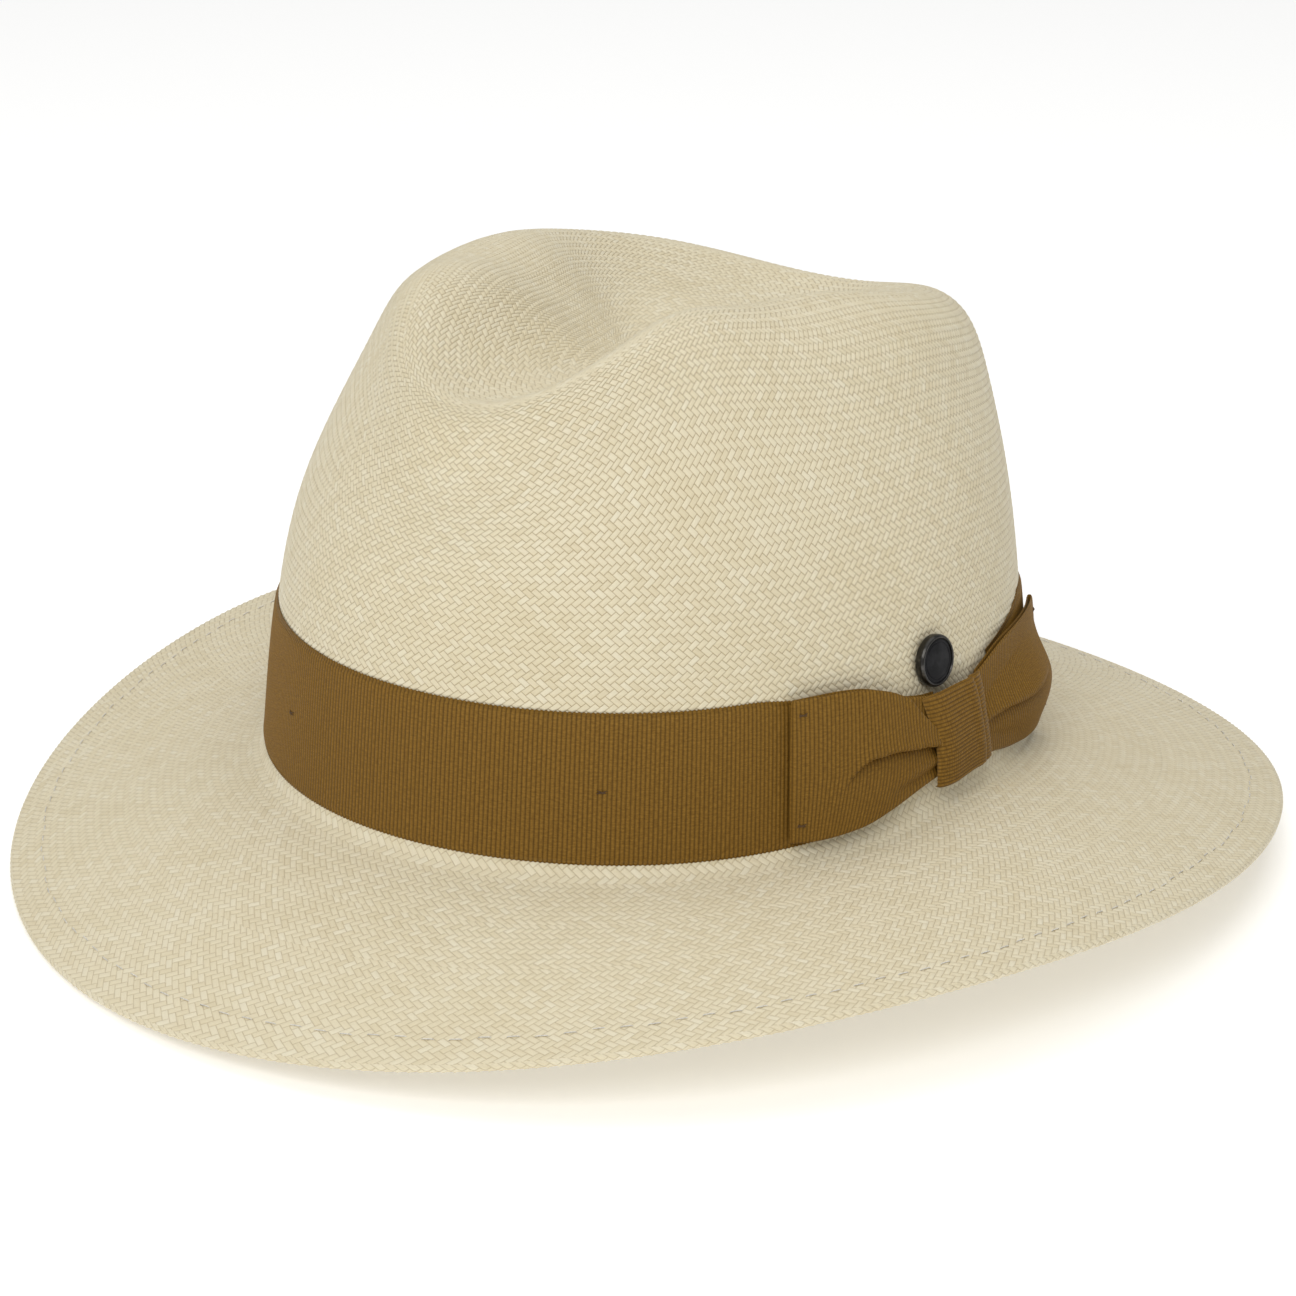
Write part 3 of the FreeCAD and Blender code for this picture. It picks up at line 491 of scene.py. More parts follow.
class Shader:
    """Adds nodes to one material and links them. A number, colour, node or output feeds any input."""

    def __init__(self, name):
        self.material = bpy.data.materials.new(name)
        self.material.use_nodes = True
        self.tree = self.material.node_tree
        self.surface = self.tree.nodes["Principled BSDF"]

    def node(self, kind, settings=None, **inputs):
        made = self.tree.nodes.new(kind)
        for key, value in (settings or {}).items():
            setattr(made, key, value)
        for key, value in inputs.items():
            self.feed(made.inputs[int(key[1:]) if key[0] == "_" else key], value)
        return made

    def feed(self, socket, value):
        if hasattr(value, "outputs"):
            value = value.outputs[0]
        if hasattr(value, "is_output"):
            self.tree.links.new(value, socket)
        else:
            socket.default_value = (*value, 1.0) if socket.type == "RGBA" else value

    def math(self, operation, a, b=0.0, c=0.0):
        return self.node("ShaderNodeMath", {"operation": operation}, _0=a, _1=b, _2=c)

    def times(self, a, b):
        return self.math("MULTIPLY", a, b)

    def line(self, value, gain, offset):
        return self.math("MULTIPLY_ADD", value, gain, offset)

    def rest(self, value):
        return self.math("SUBTRACT", 1.0, value)

    def wave(self, value, pitch):
        return self.math("SINE", self.times(value, 2 * math.pi / pitch))

    def smooth(self, value, low, high):
        soft = {"interpolation_type": "SMOOTHSTEP"}
        return self.node("ShaderNodeMapRange", soft, _0=value, _1=low, _2=high)

    def mix(self, factor, a, b):
        return self.node("ShaderNodeMix", {"data_type": "RGBA"}, _0=factor, _6=a, _7=b).outputs[2]

    def tint(self, base, colour, value, low, high, amount):
        """The base colour, moved towards another by amount where the value is high."""
        return self.mix(self.times(self.smooth(value, low, high), amount), base, colour)

    def noise(self, vector, scale, detail=2.0, roughness=0.5):
        return self.node("ShaderNodeTexNoise", None, Vector=vector, Scale=scale, Detail=detail,
                         Roughness=roughness)

    def stretched(self, x, y, gains, z, detail=2.0, roughness=0.5):
        """Noise drawn out along one way of the cloth."""
        place = self.node("ShaderNodeCombineXYZ", None, _0=self.times(x, gains[0]),
                          _1=self.times(y, gains[1]), _2=z)
        return self.noise(place, 1.0, detail, roughness)

    def ramp(self, value, stops):
        made = self.node("ShaderNodeValToRGB", None, _0=value)
        ramp = made.color_ramp
        while len(ramp.elements) < len(stops):
            ramp.elements.new(0.5)
        for element, (position, colour) in zip(ramp.elements, stops):
            element.position, element.color = position, (*colour, 1.0)
        return made

    def uv(self, layer):
        place = self.node("ShaderNodeUVMap", {"uv_map": layer})
        split = self.node("ShaderNodeSeparateXYZ", None, _0=place)
        return split.outputs[0], split.outputs[1]

    def object_place(self):
        return self.node("ShaderNodeTexCoord").outputs["Object"]

    def attribute(self, name):
        return self.node("ShaderNodeAttribute", {"attribute_name": name}).outputs["Fac"]

    def bump(self, height, distance, strength, under=None):
        made = self.node("ShaderNodeBump", None, Height=height, Distance=distance, Strength=strength)
        if under is not None:
            self.feed(made.inputs["Normal"], under)
        return made

    def done(self, colour, roughness, normal=None, **values):
        values.update({"Base Color": colour, "Roughness": roughness})
        if normal is not None:
            values["Normal"] = normal
        for key, value in values.items():
            self.feed(self.surface.inputs[key.replace("_", " ")], value)
        return self.material


def straw_material():
    """Split straw: each float has its own tone and fine fibres along it; the gaps round it are
    darkened with painted shade, more where the relief is deeper.
    """
    s = Shader("toquilla_straw")
    along, across = s.uv("float")
    tone, press = s.attribute("tone"), s.attribute("press")
    side, end = (s.math("ABSOLUTE", s.line(way, 2.0, -1.0)) for way in (across, along))
    gap = s.math("MAXIMUM", s.times(s.smooth(side, 0.80, 1.0), 0.75), s.smooth(end, 0.86, 1.0))
    fibre = s.stretched(along, across, (1.2, 9.0), s.times(tone, 60.0), 3.0, 0.6)
    drift = s.noise(s.object_place(), 38.0, 3.0, 0.55)
    straw = s.ramp(tone, [(0.0, (0.705, 0.615, 0.415)), (0.30, (0.750, 0.665, 0.465)),
                          (0.62, (0.775, 0.695, 0.498)), (1.0, (0.810, 0.745, 0.565))])
    colour = s.tint(straw, (0.86, 0.80, 0.63), fibre, 0.38, 0.68, 0.24)
    colour = s.tint(colour, (0.66, 0.55, 0.32), drift, 0.40, 0.72, 0.12)
    # Painted shade: each float's sides and ends darken towards brown, more where the weave's relief
    # is deeper.
    dark = s.times(gap, s.line(s.smooth(press, 0.12, 0.42), 0.62, 0.22))
    colour = s.mix(dark, colour, (0.36, 0.26, 0.115))
    pillow = s.rest(s.math("MAXIMUM", s.math("POWER", side, 3.0), s.math("POWER", end, 5.0)))
    normal = s.bump(fibre, 0.00004, 0.7, s.bump(pillow, 0.00016, 0.9))
    return s.done(colour, s.line(fibre, 0.22, 0.40), normal, Specular_IOR_Level=0.42,
                  Sheen_Weight=0.06, Sheen_Roughness=0.5)


def grosgrain_material(name, light, dark):
    """Ribbed ribbon: the ribs are in the mesh, and this adds the warp threads that cross them and
    painted shade in the valleys between the ribs.
    """
    s = Shader(name)
    length, width = s.uv("cloth")
    rib = s.math("ABSOLUTE", s.wave(length, 2 * RIB))
    warp = s.wave(width, WARP)
    shift = s.stretched(length, width, (0.9, 2.2), 0.0, 3.0, 0.6)
    thread = s.stretched(length, width, (0.25, 5.0), 7.0)
    colour = s.mix(s.smooth(shift, 0.30, 0.72), dark, light)
    colour = s.tint(colour, scaled(light, 1.25), thread, 0.45, 0.75, 0.35)
    # Painted shade in the valleys between the ribs.
    colour = s.mix(s.times(s.math("POWER", s.rest(rib), 1.3), 0.80), colour, scaled(dark, 0.34))
    beads = s.line(s.times(warp, rib), 0.5, 0.5)
    normal = s.bump(thread, 0.00003, 0.6, s.bump(beads, 0.00005, 0.8))
    return s.done(colour, s.line(shift, 0.2, 0.46), normal, Specular_IOR_Level=0.16,
                  Sheen_Weight=0.08, Sheen_Roughness=0.35, Sheen_Tint=(1.0, 0.80, 0.50))


def cloth_material(name, light, dark, pitch=0.55, slant=1.0, rough=0.8):
    """Fine twill cloth, drawn in millimetres along and across the piece, with painted shade in the
    twill's grooves.
    """
    s = Shader(name)
    length, width = s.uv("cloth")
    wales = s.math("ADD", length, s.times(width, slant))
    twill = s.line(s.wave(wales, pitch), 0.5, 0.5)
    cross = s.line(s.wave(length, pitch * 0.7), 0.5, 0.5)
    cloud = s.stretched(length, width, (0.12, 0.12), 0.0, 3.0, 0.6)
    slub = s.stretched(length, width, (0.3, 4.0), 3.0, 2.0, 0.6)
    colour = s.mix(s.smooth(cloud, 0.3, 0.7), dark, light)
    # Painted shade in the twill's grooves, where the bump sinks.
    colour = s.mix(s.times(s.rest(twill), 0.35), colour, scaled(dark, 0.5))
    colour = s.tint(colour, scaled(light, 1.2), slub, 0.55, 0.8, 0.3)
    normal = s.bump(s.math("ADD", twill, s.times(cross, 0.5)), 0.00006, 0.7)
    return s.done(colour, s.line(slub, 0.15, rough - 0.08), normal, Specular_IOR_Level=0.25,
                  Sheen_Weight=0.15)


def thread_material(name, colour, gloss, clear=0.0):
    s = Shader(name)
    grain = s.noise(s.object_place(), 2600.0)
    base = s.mix(s.smooth(grain, 0.3, 0.7), scaled(colour, 0.72), colour)
    return s.done(base, s.line(grain, 0.15, 1.0 - gloss), s.bump(grain, 0.00002, 0.6),
                  Specular_IOR_Level=0.5, Coat_Weight=clear, Coat_Roughness=0.2)


def metal_material(name, colour, rough, worn):
    """Plated metal with fine scratches and slight wear."""
    s = Shader(name)
    place = s.object_place()
    scratch_place = s.node("ShaderNodeMapping", None, Vector=place, Scale=(300.0, 300.0, 2600.0))
    scratch = s.noise(scratch_place, 1.0, 2.0, 0.6)
    base = s.tint(colour, worn, s.noise(place, 420.0, 3.0, 0.6), 0.45, 0.8, 0.5)
    return s.done(base, s.line(scratch, 0.16, rough - 0.06), s.bump(scratch, 0.000004, 0.5),
                  Metallic=1.0)


def enamel_material():
    s = Shader("black_enamel")
    place = s.object_place()
    cloud = s.noise(place, 300.0, 3.0, 0.6)
    base = s.mix(s.smooth(cloud, 0.35, 0.7), (0.006, 0.006, 0.007), (0.020, 0.020, 0.022))
    peel = s.bump(s.noise(place, 900.0), 0.000006, 0.5)
    return s.done(base, s.line(cloud, 0.14, 0.26), peel, Specular_IOR_Level=0.08)


# ---- ribbon

PER_RIB = 4
OUTER_TILE, INNER_TILE = (0.0, 0.62), (0.64, 1.0)
FOLD_RIBS, FOLD_STEPS = 3.0, 14
MM_PER_DEGREE = 1.62
TACK_ROW, TACKS_FROM_EDGE = 0.965, (4.4, 3.2)


def layered(name, outer, inner, cloth, closed=False):
    """A closed mesh between two grids of points in mm, with cloth UVs in mm."""
    rows, columns = outer.shape[:2]
    verts = np.concatenate([standing(outer).reshape(-1, 3), standing(inner).reshape(-1, 3)])
    back = rows * columns
    grid = np.arange(back).reshape(rows, columns)
    cloth = cloth.reshape(-1, 2)
    low, high = cloth.min(axis=0), cloth.max(axis=0)
    even = (cloth - low) / (high - low)
    faces, uvs, bakes = [], [], []

    def add(corners, tile=OUTER_TILE):
        quad = np.stack(corners, axis=-1).reshape(-1, 4)
        pick = quad % back
        faces.append(quad)
        uvs.append(cloth[pick])
        bakes.append(even[pick] * (0.98, tile[1] - tile[0] - 0.01) + (0.01, tile[0] + 0.005))

    nxt = np.roll(grid, -1, axis=0) if closed else grid[1:]
    cur = grid if closed else grid[:-1]
    add((cur[:, :-1], nxt[:, :-1], nxt[:, 1:], cur[:, 1:]))
    add((cur[:, :-1] + back, cur[:, 1:] + back, nxt[:, 1:] + back, nxt[:, :-1] + back), INNER_TILE)
    for side, order in ((0, 1), (-1, -1)):
        a, b = cur[:, side], nxt[:, side]
        add((a, a + back, b + back, b)[::order])
    for end, order in () if closed else ((0, 1), (-1, -1)):
        a, b = grid[end, :-1], grid[end, 1:]
        add((a, b, b + back, a + back)[::order])
    return make_mesh(name, verts, faces, {"cloth": uvs, "OFBake": bakes})


def rounded(columns, power):
    """A row of heights that is 1 in the middle and rolls off to 0 at both edges."""
    return np.sin(np.linspace(0.0, np.pi, columns)) ** power


def ripple(length, depth=0.27):
    """Height of the ribs in mm along the ribbon."""
    return depth * (0.5 - 0.5 * np.cos(2 * np.pi * length / RIB)) ** 0.7


def cloth_grid(length, width):
    """Cloth UVs in mm from a column of lengths and a grid of widths."""
    return np.stack([np.broadcast_to(length[:, None], width.shape), width], axis=-1)


def band_heights(angle):
    """Bottom and top of the band: it narrows towards the bow, where the loops hide its ends."""
    lift = break_height(np.radians(angle))
    behind = angle > 90.0
    dip = falloff(-np.abs(angle - 86.0), -40.0, -32.0) * (angle < 90.0) * lift
    dip = dip + 0.36 * np.clip(118.0 - angle, 0.0, 40.0) * behind
    rise = 0.34 * np.clip(113.0 - angle, 0.0, 20.0) * behind
    return RIBBON_BOTTOM + lift + rise, RIBBON_BOTTOM + RIBBON_WIDTH + lift - dip


def band_point(a, u, standoff):
    angle = BAND_FIRST + a * (BAND_LAST - BAND_FIRST)
    low, high = band_heights(angle % 360.0)
    return wall_point(angle, low + u * (high - low), GAP + standoff)


def build_band(material):
    """One ribbed strip whose edges are scalloped by the ribs and slightly wavy."""
    middle = band_point(np.linspace(0, 1, 400), 0.5, 0.0)
    run = np.linalg.norm(np.diff(middle, axis=0), axis=1).sum()
    steps, columns = int(round(run / RIB)) * PER_RIB, 15
    along, spread = np.arange(steps + 1) / steps, np.linspace(0.0, 1.0, columns)
    up = 0.55 * (0.5 - 0.5 * np.cos(np.pi * spread)) + 0.45 * spread
    a, u = np.meshgrid(along, up, indexing="ij")
    length = along * run
    scallop = 0.12 * np.cos(2 * np.pi * length / RIB)[:, None] * np.abs(2 * up - 1) ** 24
    real_u = u - scallop * np.sign(up - 0.5) / RIBBON_WIDTH
    wave = 0.05 * (np.sin(a * 37.0 + 1.3) + 0.6 * np.sin(a * 91.0)) * np.abs(2 * u - 1) ** 2
    edge = rounded(columns, 0.16)
    outer = band_point(a, real_u, (RIBBON - 0.05 + ripple(length)[:, None]) * edge - 0.16 + wave)
    band = layered("ribbon_band_cloth", outer, band_point(a, real_u, 0.02),
                   cloth_grid(length, u * RIBBON_WIDTH))
    finish_piece(band, "hat", material, "ribbon_band")


def table(xs, ys):
    """A smooth curve through a few points."""
    xs, ys = np.array(xs, float), np.array(ys, float)
    slopes = np.gradient(ys, xs)

    def at(x):
        x = np.clip(x, xs[0], xs[-1])
        k = np.clip(np.searchsorted(xs, x, side="right") - 1, 0, len(xs) - 2)
        h = xs[k + 1] - xs[k]
        t = (x - xs[k]) / h
        return ((2 * t**3 - 3 * t**2 + 1) * ys[k] + (t**3 - 2 * t**2 + t) * h * slopes[k]
                + (-2 * t**3 + 3 * t**2) * ys[k + 1] + (t**3 - t**2) * h * slopes[k + 1])
    return at


def loop_mesh(name, knot_angle, fold_angle, bottom, top, swell, pleats, shear, material, node):
    """A loop of ribbon: out from the knot along the band, over a soft fold and back on top."""
    ribs, columns = int(round(abs(fold_angle - knot_angle) * MM_PER_DEGREE / RIB)), 60
    way = np.sign(fold_angle - knot_angle)
    run = np.linspace(0.0, 1.0, ribs * PER_RIB + 1)
    turn = np.linspace(0.0, 1.0, FOLD_STEPS + 2)[1:-1]
    path_a = np.concatenate([run, np.ones(FOLD_STEPS), run[::-1]])
    path_f = np.concatenate([np.zeros(len(run)), turn, np.ones(len(run))])
    a, u = np.meshgrid(path_a, np.linspace(0.0, 1.0, columns), indexing="ij")
    f = np.broadcast_to(path_f[:, None], a.shape)
    base = GAP * 2 + RIBBON + 0.45 + 0.605 * falloff(a, 0.0, 0.9)
    high = np.maximum(base + swell(a, u) + sum(pleat(a, u) for pleat in pleats), base + 0.9)
    bulge = 0.5 * (high - base) * np.sin(np.pi * f)
    standoff = base + (high - base) * (0.5 - 0.5 * np.cos(np.pi * f))
    share = a + shear(a, u) * f
    angle = knot_angle + (fold_angle - knot_angle) * share + way * bulge / MM_PER_DEGREE
    low, tall = bottom(a), top(a) - bottom(a)
    centre = wall_point(angle, low + tall * u, standoff)
    along, across = np.gradient(centre, axis=0), np.gradient(centre, axis=1)
    normal = way * unit(np.cross(along, across))
    rib_run = RIB * np.concatenate([run * ribs, ribs + turn * FOLD_RIBS,
                                    ribs + FOLD_RIBS + (1 - run[::-1]) * ribs])
    edge, half = rounded(columns, 0.16), 0.5 * (RIBBON - 0.2)
    face = centre - normal * ((half + 0.8 * ripple(rib_run)[:, None]) * edge)[..., None]
    back = centre + normal * (half * edge)[:, None]
    grids = (face, back, cloth_grid(rib_run, u * tall))
    obj = layered(name, *(grids if way > 0 else (grid[::-1] for grid in grids)))
    finish_piece(obj, "hat", material, node)
    row = -1 - int(round(TACK_ROW * ribs * PER_RIB))
    end_tall = float(top(1.0) - bottom(1.0))
    shares = (TACKS_FROM_EDGE[0] / end_tall, 1.0 - TACKS_FROM_EDGE[1] / end_tall)
    picks = [int(round(share * (columns - 1))) for share in shares]
    return [(face[row, pick], -normal[row, pick], unit(along[row, pick])) for pick in picks]


def crease(away, soft, over, over_reach, under, under_reach):
    """Relief in mm across a pleat's line: raised past the line and sunk before it."""
    lip = falloff(away, *soft)
    return (lip * over * np.exp(-np.clip(away, 0, 1) / over_reach)
            - (1.0 - lip) * under * np.exp(-np.clip(-away, 0, 1) / under_reach))


def build_front_loop(material):
    bottom = table((0.0, 0.13, 0.35, 0.5, 0.69, 0.87, 1.0), (12.9, 11.8, 8.7, 6.6, 5.5, 5.2, 5.5))
    top = table((0.0, 0.10, 0.18, 0.30, 0.41, 0.535, 0.71, 0.87, 1.0),
                (33.0, 33.2, 33.7, 34.9, 36.9, 38.5, 39.4, 39.4, 39.2))
    main_line = table((0.0, 0.19, 0.34, 0.49, 0.60, 0.68, 0.75, 0.8),
                      (0.38, 0.49, 0.527, 0.527, 0.505, 0.43, 0.30, 0.2))

    def swell(a, u):
        crown = np.sin(np.pi * (0.10 + 0.80 * u))
        belly = np.sin(np.pi * np.clip(a * 0.95 + 0.08, 0, 1)) ** 0.8
        return (1.6 + 2.2 * belly) * (0.55 + 0.45 * crown)

    def main_pleat(a, u):
        strength = (1.0 - falloff(a, 0.56, 0.76)) * falloff(a, -0.05, 0.06)
        return strength * crease(u - main_line(a), (-0.012, 0.022), 1.5, 0.16, 2.1, 0.11)

    def corner_pleat(a, u):
        fade = 1.0 - falloff(a, 0.24, 0.34)
        return fade * crease(u - (0.49 + 1.74 * a), (-0.02, 0.03), -1.3, 0.2, -0.7, 0.15)

    def low_gather(a, u):
        away = u - (0.12 + 0.10 * a)
        folds = -0.9 * gauss(away, 0.06) + 0.5 * gauss(away - 0.12, 0.07)
        return (1.0 - falloff(a, 0.18, 0.45)) * folds

    def shear(a, u):
        bell = np.sin(np.pi * np.clip(a, 0, 1)) ** 1.2
        return bell * (0.16 * np.maximum(0.0, 0.46 - u) - 0.05 * np.maximum(0.0, u - 0.6))

    return loop_mesh("bow_front_loop_cloth", 79.5, 52.4, bottom, top, swell,
                     (main_pleat, corner_pleat, low_gather), shear, material, "bow_front_loop")


def build_rear_loop(material):
    bottom = table((0.0, 0.16, 0.32, 0.6, 0.85, 1.0), (12.0, 10.8, 9.0, 6.4, 5.0, 4.8))
    top = table((0.0, 0.10, 0.25, 0.45, 0.7, 1.0), (33.4, 35.0, 36.9, 37.6, 37.5, 36.8))

    def swell(a, u):
        return (1.5 + 3.4 * falloff(a, 0.0, 0.55)) * (0.08 + 0.92 * gauss(u - 0.36, 0.30))

    def pleat(a, u):
        strength = (1.0 - falloff(a, 0.50, 0.95)) * falloff(a, -0.05, 0.06)
        return strength * crease(u - (0.40 + 0.06 * a), (-0.012, 0.022), 1.3, 0.16, 1.7, 0.12)

    def fan(a, u):
        away = u - 0.72 - 0.25 * a
        folds = -0.8 * gauss(away, 0.05) + 0.5 * gauss(away - 0.12, 0.06)
        return (1.0 - falloff(a, 0.15, 0.50)) * (folds - 0.7 * gauss(u - 0.16, 0.05))

    def shear(a, u):
        bell = np.sin(np.pi * np.clip(a, 0, 1))
        return bell * (0.14 * np.maximum(0.0, 0.45 - u) + 0.08 * np.maximum(0.0, u - 0.5))

    return loop_mesh("bow_rear_loop_cloth", 91.0, 122.6, bottom, top, swell, (pleat, fan), shear,
                     material, "bow_rear_loop")


def build_knot(material):
    """The short wrap over the middle: its ribs lie across the knot, and it is creased lengthwise."""
    columns, tall, half = 40, 23.0, 0.28
    path = np.linspace(-0.10, 1.10, (int(round(tall / RIB)) + 5) * PER_RIB + 1)
    u, x = np.meshgrid(path, np.linspace(-1.0, 1.0, columns), indexing="ij")
    up = np.clip(u, 0.0, 1.0)
    angle = 85.9 - 3.2 * up + (7.3 + 0.3 * np.cos(2 * np.pi * up)) * x
    z = 11.2 + 22.0 * up + 0.45 * x + 0.35 * np.sin(3.1 * x + 0.6) * (1.0 - up)
    arch = np.sin(np.pi * np.clip(0.05 + 0.90 * (u + 0.10) / 1.2, 0.0, 1.0)) ** 0.34
    sides = 1.0 - 0.26 * np.abs(x) ** 8
    folds = (0.35 * gauss(x - 0.40, 0.14) - 0.75 * falloff(x, 0.52, 0.60)
             - 0.5 * gauss(x - 0.60, 0.05) + 0.3 * gauss(x + 0.55, 0.25))
    centre = wall_point(angle, z, GAP * 2 + RIBBON + 0.3 + 4.7 * arch * sides + folds * arch)
    normal = unit(np.cross(np.gradient(centre, axis=1), np.gradient(centre, axis=0)))
    rib_run = path * tall * 1.06
    edge = rounded(columns, 0.2)
    face = centre + normal * ((half + ripple(rib_run, depth=0.30)[:, None]) * edge)[..., None]
    back = centre - normal * (half * edge)[:, None]
    grids = (face, back, cloth_grid(rib_run, (x + 1.0) * 7.0))
    obj = layered("bow_knot_cloth", *(grid[:, ::-1] for grid in grids))
    finish_piece(obj, "hat", material, "bow_knot")


# ---- stitches


def sweep(points, radii, sides):
    """Vertices, sides and end caps of a tube through mm points, with a slight twist."""
    tangent = unit(np.gradient(points, axis=0))
    helper = np.where(np.abs(tangent[:, 2:3]) > 0.9, [[1.0, 0.0, 0.0]], [[0.0, 0.0, 1.0]])
    side = unit(np.cross(tangent, helper))
    other = np.cross(tangent, side)
    a = (np.arange(sides) * 2 * np.pi / sides + 0.5 * np.arange(len(points))[:, None])[..., None]
    ring = (np.cos(a) * side[:, None] + np.sin(a) * other[:, None]) * radii[:, None, None]
    index = np.arange(len(points) * sides).reshape(len(points), sides)
    nxt = np.roll(index, -1, axis=1)
    quads = np.stack([index[:-1], nxt[:-1], nxt[1:], index[1:]], axis=-1).reshape(-1, 4)
    return (points[:, None] + ring).reshape(-1, 3), quads, np.array([index[0][::-1], index[-1]])


def thread_piece(name, runs, radius, sides, material, node):
    """Stitches along paths of mm points: the ends dive, and the thread swells where plies show."""
    verts, quads, caps, count = [], [], [], 0
    for run in runs:
        steps = np.linspace(0.0, 1.0, len(run))
        swell = (0.55 + 0.45 * np.sin(np.pi * steps) ** 0.25) * (1.0 + 0.14 * np.sin(steps * 26.0))
        v, q, c = sweep(run, radius * swell, sides)
        verts.append(v)
        quads.append(q + count)
        caps.append(c + count)
        count += len(v)
    faces = [np.concatenate(quads), np.concatenate(caps)]
    obj = make_mesh(name, standing(np.concatenate(verts)), faces)
    finish_piece(obj, "hat", material, node)


def build_hem_stitches(material):
    """A running stitch that shows on top and, half a stitch later, under the hem."""
    count = int(math.pi * (HALF_LENGTH + HALF_BREADTH + 2.0 * BRIM_WIDTH[2]) / HEM_STITCH_PITCH)
    runs = []
    steps = np.linspace(0.0, 1.0, 13)
    dive = np.maximum(0.0, np.abs(2 * steps - 1) - 0.72) / 0.28
    deep = 0.5 * HEM_THREAD - 0.02 - 0.32 * dive**2
    for i in range(count):
        wander = 0.35 * math.sin(i * 1.7) + 0.2 * math.sin(i * 0.61)
        v = np.full(len(steps), v_at(HEM_STITCH_INSET + wander))
        for shift, above in ((0.0, deep), (0.5, -EDGE_ROLL - deep)):
            turn = ((i + shift + STITCH_SHARE * 1.12 * steps) / count) % 1.0
            points, normals, _ = surface(turn, v, pairs=True)
            runs.append(points + normals * above[:, None])
    thread_piece("hem_stitches", runs, 0.5 * HEM_THREAD, 6, material, "hem_stitching")


def band_tack_runs():
    """Three crossing bars of thread on the band at each tack."""
    half = 0.5 * math.degrees(TACK_LENGTH / HALF_LENGTH)
    along, bend = np.linspace(-1.0, 1.0, 11), np.sin(np.pi * np.linspace(0.0, 1.0, 11)) ** 0.5
    over_ribbon = GAP + RIBBON + 0.10
    return [wall_point(angle + along * half * (1.0 - 0.12 * k),
                       TACK_HEIGHT + tilt * along + 0.12 * math.sin(n + 2 * k),
                       over_ribbon + lift * bend - 0.22 * (1 - bend))
            for n, angle in enumerate(TACK_ANGLES)
            for k, (tilt, lift) in enumerate(((0.35, 0.10), (-0.30, 0.16), (0.05, 0.22)))]


def loop_tack_runs(spots):
    """Crossing bars of thread on the loops, each lying on the ribbon at its own place."""
    runs = []
    steps = np.linspace(-1.0, 1.0, 11)
    bend = np.cos(0.5 * np.pi * steps) ** 0.5
    for place, out, along in spots:
        for tilt, lift, size in ((0.35, 0.06, 1.0), (-0.30, 0.12, 0.85), (0.05, 0.18, 0.7)):
            runs.append(place + along * (0.5 * TACK_LENGTH * size * steps)[:, None]
                        + np.cross(out, along) * (tilt * steps)[:, None]
                        + out * (lift + 0.16 * bend - 0.2 * (1 - bend))[:, None])
    return runs


# ---- inside of the hat


def inside_piece(name, first, last, bottom, height, depth, thickness, grid, material, node,
                 wavy):
    """A strip of cloth on the wall's inside; depth and thickness are towards the head."""
    (rows, columns), closed = grid, last - first == 360.0
    along = np.arange(rows) / (rows if closed else rows - 1)
    a, u = np.meshgrid(along, np.linspace(0.0, 1.0, columns), indexing="ij")
    degrees = first + (last - first) * a
    angle = np.radians(degrees)
    edge = np.sin(np.pi * u) ** 0.2
    wave = wavy * (np.sin(angle * 9 + 1.0) + 0.5 * np.sin(angle * 23)) * u**2
    z = break_height(angle) + bottom + height * u + (0.3 * np.sin(angle * 5) if closed else 0.0) * u
    inward = depth + thickness * (0.25 + 0.75 * edge) + np.maximum(wave, -0.06)
    face, back = wall_point(degrees, z, -STRAW - inward), wall_point(degrees, z, -STRAW - depth)
    cloth = np.stack([a * np.radians(last - first) * 92.0, u * height], axis=-1)
    obj = layered(name, face[:, ::-1], back[:, ::-1], cloth[:, ::-1], closed)
    finish_piece(obj, "hat", material, node)


def build_reed(material):
    """The reed's cloth piping: a closed tube under the sweatband, wrapped by a fine spiral."""
    turns, sides = 720, 12
    degrees = (np.arange(turns) * 360.0 / turns)[:, None]
    a = (np.arange(sides) * 2 * np.pi / sides)[None, :]
    wrap = 1.0 + 0.05 * np.sin(np.radians(degrees) * 360 + a * 2)
    inward = STRAW + SWEATBAND_GAP + 0.5 * REED_THICKNESS * (1.0 + np.cos(a) * wrap)
    middle = break_height(np.radians(degrees)) + SWEATBAND_BOTTOM - GAP - 0.5 * REED_HEIGHT
    points = wall_point(degrees, middle + 0.5 * REED_HEIGHT * np.sin(a) * wrap, -inward)
    index = np.arange(turns * sides).reshape(turns, sides)
    nxt, side = np.roll(index, -1, axis=0), np.roll(index, -1, axis=1)
    quads = np.stack([index, nxt, np.roll(nxt, -1, axis=1), side], axis=-1).reshape(-1, 4)
    cloth = np.stack(np.broadcast_arrays(degrees * 1.6, a * 0.8), axis=-1).reshape(-1, 2)
    verts = standing(points.reshape(-1, 3))
    reed = make_mesh("sweatband_reed_piping", verts, [quads], {"cloth": [cloth[quads]]})
    finish_piece(reed, "hat", material, "sweatband_reed")


